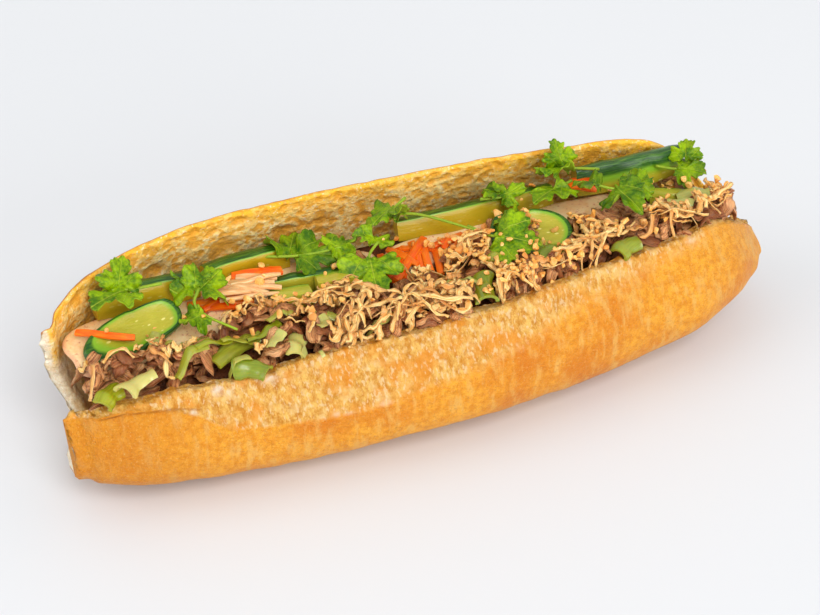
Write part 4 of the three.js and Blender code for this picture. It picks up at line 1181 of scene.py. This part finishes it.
for number, (stem, leaves) in enumerate(sprigs, start=1):
    parts = []
    for size, at, turn, roll, tilt, curl, dark in leaves:
        rings, local, under = leaf(size, curl, dice.uniform(0.6, 1.2))
        rings = turned(rings, turn, roll, tilt) + stem_point(stem, at) + (0, 0, 0.4)
        parts.append((rings, {"local": local, "tone": dark, "underside": under * 0.6}))
    rings = stalk(stem)
    parts.append((rings, {"local": np.full(rings.shape, 9.0), "tone": 0.0, "underside": 0.75}))
    parts = parts_moved_onto(parts, f"coriander_{number}")
    for rings, _ in parts[:-1]:
        cells = cells_of(rings)
        kept[cells] = True
        np.maximum.at(pile, cells, rings.reshape(-1, 3)[:, 2])
    piece = joined(f"coriander_sprig_{number}", parts, leaf_material, "coriander")
    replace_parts(piece, f"coriander_{number}")


# ---- Fried shallots ------------------------------------------------------------------------------
# Thin strips of shallot fried golden and brittle, curled and crinkled. They lie over the beef, most of
# them in the middle and at the right.

shallot, tree, shader = new_material("fried_shallot", 0.36, subsurface_weight=0.15, subsurface_scale=0.002)
own = attribute(tree, "local", "Vector")
layers = noise(tree, stretched(tree, own, 0.1, 1.6, 1.6), 1.2, 3)
shallot_colour = mixed(tree, ranged(tree, layers, 0.35, 0.65), paint(234, 158, 66), paint(255, 216, 142))
tone = attribute(tree, "tone")
shallot_colour = tinted(tree, shallot_colour, paint(206, 128, 54), tone, 0.6, 1, 0, 0.7)
scorch = noise(tree, own, 0.35, 2)
shallot_colour = tinted(tree, shallot_colour, paint(176, 104, 44), scorch, 0.6, 0.72, 0, 0.5)
finish_material(tree, shader, shallot_colour, layers, 0.0008, 0.8)


def shallot_strip(length, width, bend, wiggle):
    """A brittle ribbon: curled across, crinkled along, narrow at both ends."""
    t = np.linspace(0, 1, 12)
    way = bend * (t - 0.5) + wiggle * np.sin(2 * np.pi * t + dice.uniform(0, 6))
    steps = np.stack([np.cos(way), np.sin(way)], axis=-1) * length / (len(t) - 1)
    flat = np.cumsum(steps, axis=0)
    flat -= flat.mean(axis=0)
    lift = dice.uniform(0.2, 1.1) * np.sin(dice.uniform(2, 6) * t + dice.uniform(0, 6))
    lift += 0.35 * np.sin(dice.uniform(12, 18) * t + dice.uniform(0, 6))
    spine = np.concatenate([flat, lift[:, None]], axis=1)
    curl = dice.uniform(-0.5, 0.5) * width
    section = np.array([(1, 0), (0.5, 0.9), (-0.5, 0.9), (-1, 0), (-0.5, -0.5), (0.5, -0.5)])
    section *= (width / 2, 0.36)
    section[:, 1] += curl * (section[:, 0] / width) ** 2 * 2
    swell = 0.5 + 0.5 * np.sin(np.pi * np.clip(t, 0.06, 0.94)) ** 0.5
    swell += 0.25 * np.sin(17 * t + dice.uniform(0, 6))
    twist = dice.uniform(-0.7, 0.7) + dice.uniform(-1.2, 1.2) * t
    rings, local = swept(spine, section, swell, twist, (0.4,))
    return rings, local + dice.uniform(0, 99)


shallot_zones = [
    # count, x from to, share across from to
    (1150, -66, 22, 0.0, 0.52), (260, -114, -60, 0.05, 0.6), (420, 42, 118, 0.06, 0.66),
    (60, 14, 60, 0.0, 0.4), (50, 96, 126, 0.3, 0.9), (20, -130, -108, 0.05, 0.4),
]
shallot_ceiling = 62.5
strips = []
for count, from_x, to_x, from_share, to_share in shallot_zones:
    for _ in range(count):
        x = dice.uniform(from_x, to_x)
        share = dice.uniform(from_share, to_share)
        lengths = (dice.uniform(3, 6), dice.uniform(6, 12), dice.uniform(11, 22))
        length = dice.choice(lengths, p=(0.3, 0.35, 0.35))
        bend = dice.normal(0, 1.2)
        width = dice.uniform(1.4, 3.2) if length < 12 else dice.uniform(1.2, 2.3)
        rings, local = shallot_strip(length, width, bend, dice.uniform(0, 0.6))
        turn = dice.normal(8, 40) if length > 11 else dice.uniform(0, 360)
        rings = turned(rings, turn, dice.uniform(-20, 20), dice.uniform(-10, 10))
        rings = draped(rings + (x, across_at(x, share), 0), drape=0.6, sink=0.4)
        if not fits(rings, 0.16 if length > 8 else 0.32) or overhangs(rings, -1):
            continue
        if rings[..., 2].max() > shallot_ceiling:
            continue
        raise_pile(rings)
        strips.append((rings, {"local": local, "tone": dice.uniform(0, 1)}))
shallot_piece = joined("fried_shallots", strips, shallot, "beef_heap")


# ---- Crushed peanuts -----------------------------------------------------------------------------
# Roasted peanuts crushed to angular bits of two to four millimetres, thickest right of the middle. Each
# is a ball cut flat on several sides.

peanut, tree, shader = new_material("peanut", 0.4, subsurface_weight=0.15, subsurface_scale=0.002)
place = put(tree, "TexCoord").outputs["Object"]
peanut_colour, peanut_height = mottle(tree, place, 300, paint(255, 204, 120), paint(238, 160, 60))
tone = attribute(tree, "tone")
peanut_colour = tinted(tree, peanut_colour, paint(216, 132, 46), tone, 0.55, 1, 0, 0.8)
finish_material(tree, shader, peanut_colour, peanut_height, 0.0004, 0.5)


def peanut_bit(size):
    """An angular bit: a ball cut by a few random planes."""
    around = np.linspace(0, 2 * np.pi, 12, endpoint=False)
    up = np.linspace(-0.98, 0.98, 8)[:, None]
    flat = np.sqrt(1 - up**2)
    ball = np.stack([flat * np.cos(around), flat * np.sin(around), up + 0 * around], axis=-1)
    for _ in range(9):
        normal = dice.normal(size=3)
        normal /= np.linalg.norm(normal)
        over = np.clip(ball @ normal - dice.uniform(0.25, 0.7), 0, None)
        ball -= over[..., None] * normal
    return ball * size / 1.8 * dice.uniform(0.75, 1.15, 3)


peanut_zones = [
    # count, x from to, share across from to, how much may lie on toppings
    (900, 4, 52, 0.0, 0.66, 0.5), (210, 50, 122, 0.05, 0.8, 0.5), (34, -126, -96, 0.3, 0.7, 1),
    (90, -96, -56, 0.2, 0.7, 0.6), (120, -56, 8, 0.1, 0.6, 0.4), (60, 104, 131, 0.1, 0.9, 1),
    (50, 40, 84, 0.0, 0.2, 0.3),
]
peanut_ceiling = 62
thickest_layer = 1.1
bits = []
bare_pile = pile.copy()
for count, from_x, to_x, from_share, to_share, limit in peanut_zones:
    for _ in range(count):
        x = dice.uniform(from_x, to_x)
        size = dice.uniform(1.7, 3.7)
        bit = peanut_bit(size)
        rings = turned(bit, dice.uniform(0, 360), dice.uniform(-40, 40), dice.uniform(-40, 40))
        share = dice.uniform(from_share, to_share)
        rings = draped(rings + (x, across_at(x, share), 0), drape=0, sink=0.4)
        if not fits(rings, 0.1) and dice.uniform() > 0.25 * limit:
            continue
        cells = cells_of(rings)
        if rings[..., 2].max() > peanut_ceiling or (pile - bare_pile)[cells].mean() > thickest_layer:
            continue
        raise_pile(rings)
        bits.append((rings, {"tone": dice.uniform(0, 1)}))
peanut_piece = joined("crushed_peanuts", bits, peanut, "beef_heap", 28)
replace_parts(core, "beef_heap")
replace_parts(beef_piece, "beef_heap")
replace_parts(shallot_piece, "beef_heap")
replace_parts(peanut_piece, "beef_heap")
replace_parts(onion_piece, "beef_heap")


# ---- Floor and light -----------------------------------------------------------------------------
# A plain pale floor under wide soft light, as on a white studio table. One large light stands high in
# front, one fills from the left, and a low card in front lifts the side of the loaf.

floor_material, tree, shader = new_material("pale_floor", 0.7)
shader.inputs["Base Color"].default_value = paint(223, 225, 228)
bpy.ops.mesh.primitive_plane_add(size=6, location=(0, 0, -0.0002))
floor = bpy.context.object
floor.name = "floor"
floor.data.materials.append(floor_material)

world = bpy.data.worlds.new("studio")
bpy.context.scene.world = world
world.use_nodes = True
background = world.node_tree.nodes["Background"]
background.inputs["Color"].default_value = (1, 1, 1, 1)
background.inputs["Strength"].default_value = 0.68


def add_softbox(name, place, size, power):
    """A square soft light at a place in metres, turned towards the loaf."""
    light = bpy.data.lights.new(name, "AREA")
    light.size = size
    light.energy = power
    softbox = bpy.data.objects.new(name, light)
    softbox.location = place
    softbox.rotation_mode = "QUATERNION"
    softbox.rotation_quaternion = Vector(place).to_track_quat("Z", "Y")
    bpy.context.scene.collection.objects.link(softbox)


add_softbox("key", (-0.2, -4.0, 4.4), 2.6, 170.0)
add_softbox("fill", (-4.4, 0.4, 2.8), 4.0, 70.0)
add_softbox("front card", (1.2, -5.8, 0.9), 4.0, 220.0)
bpy.context.scene.view_settings.view_transform = "Standard"
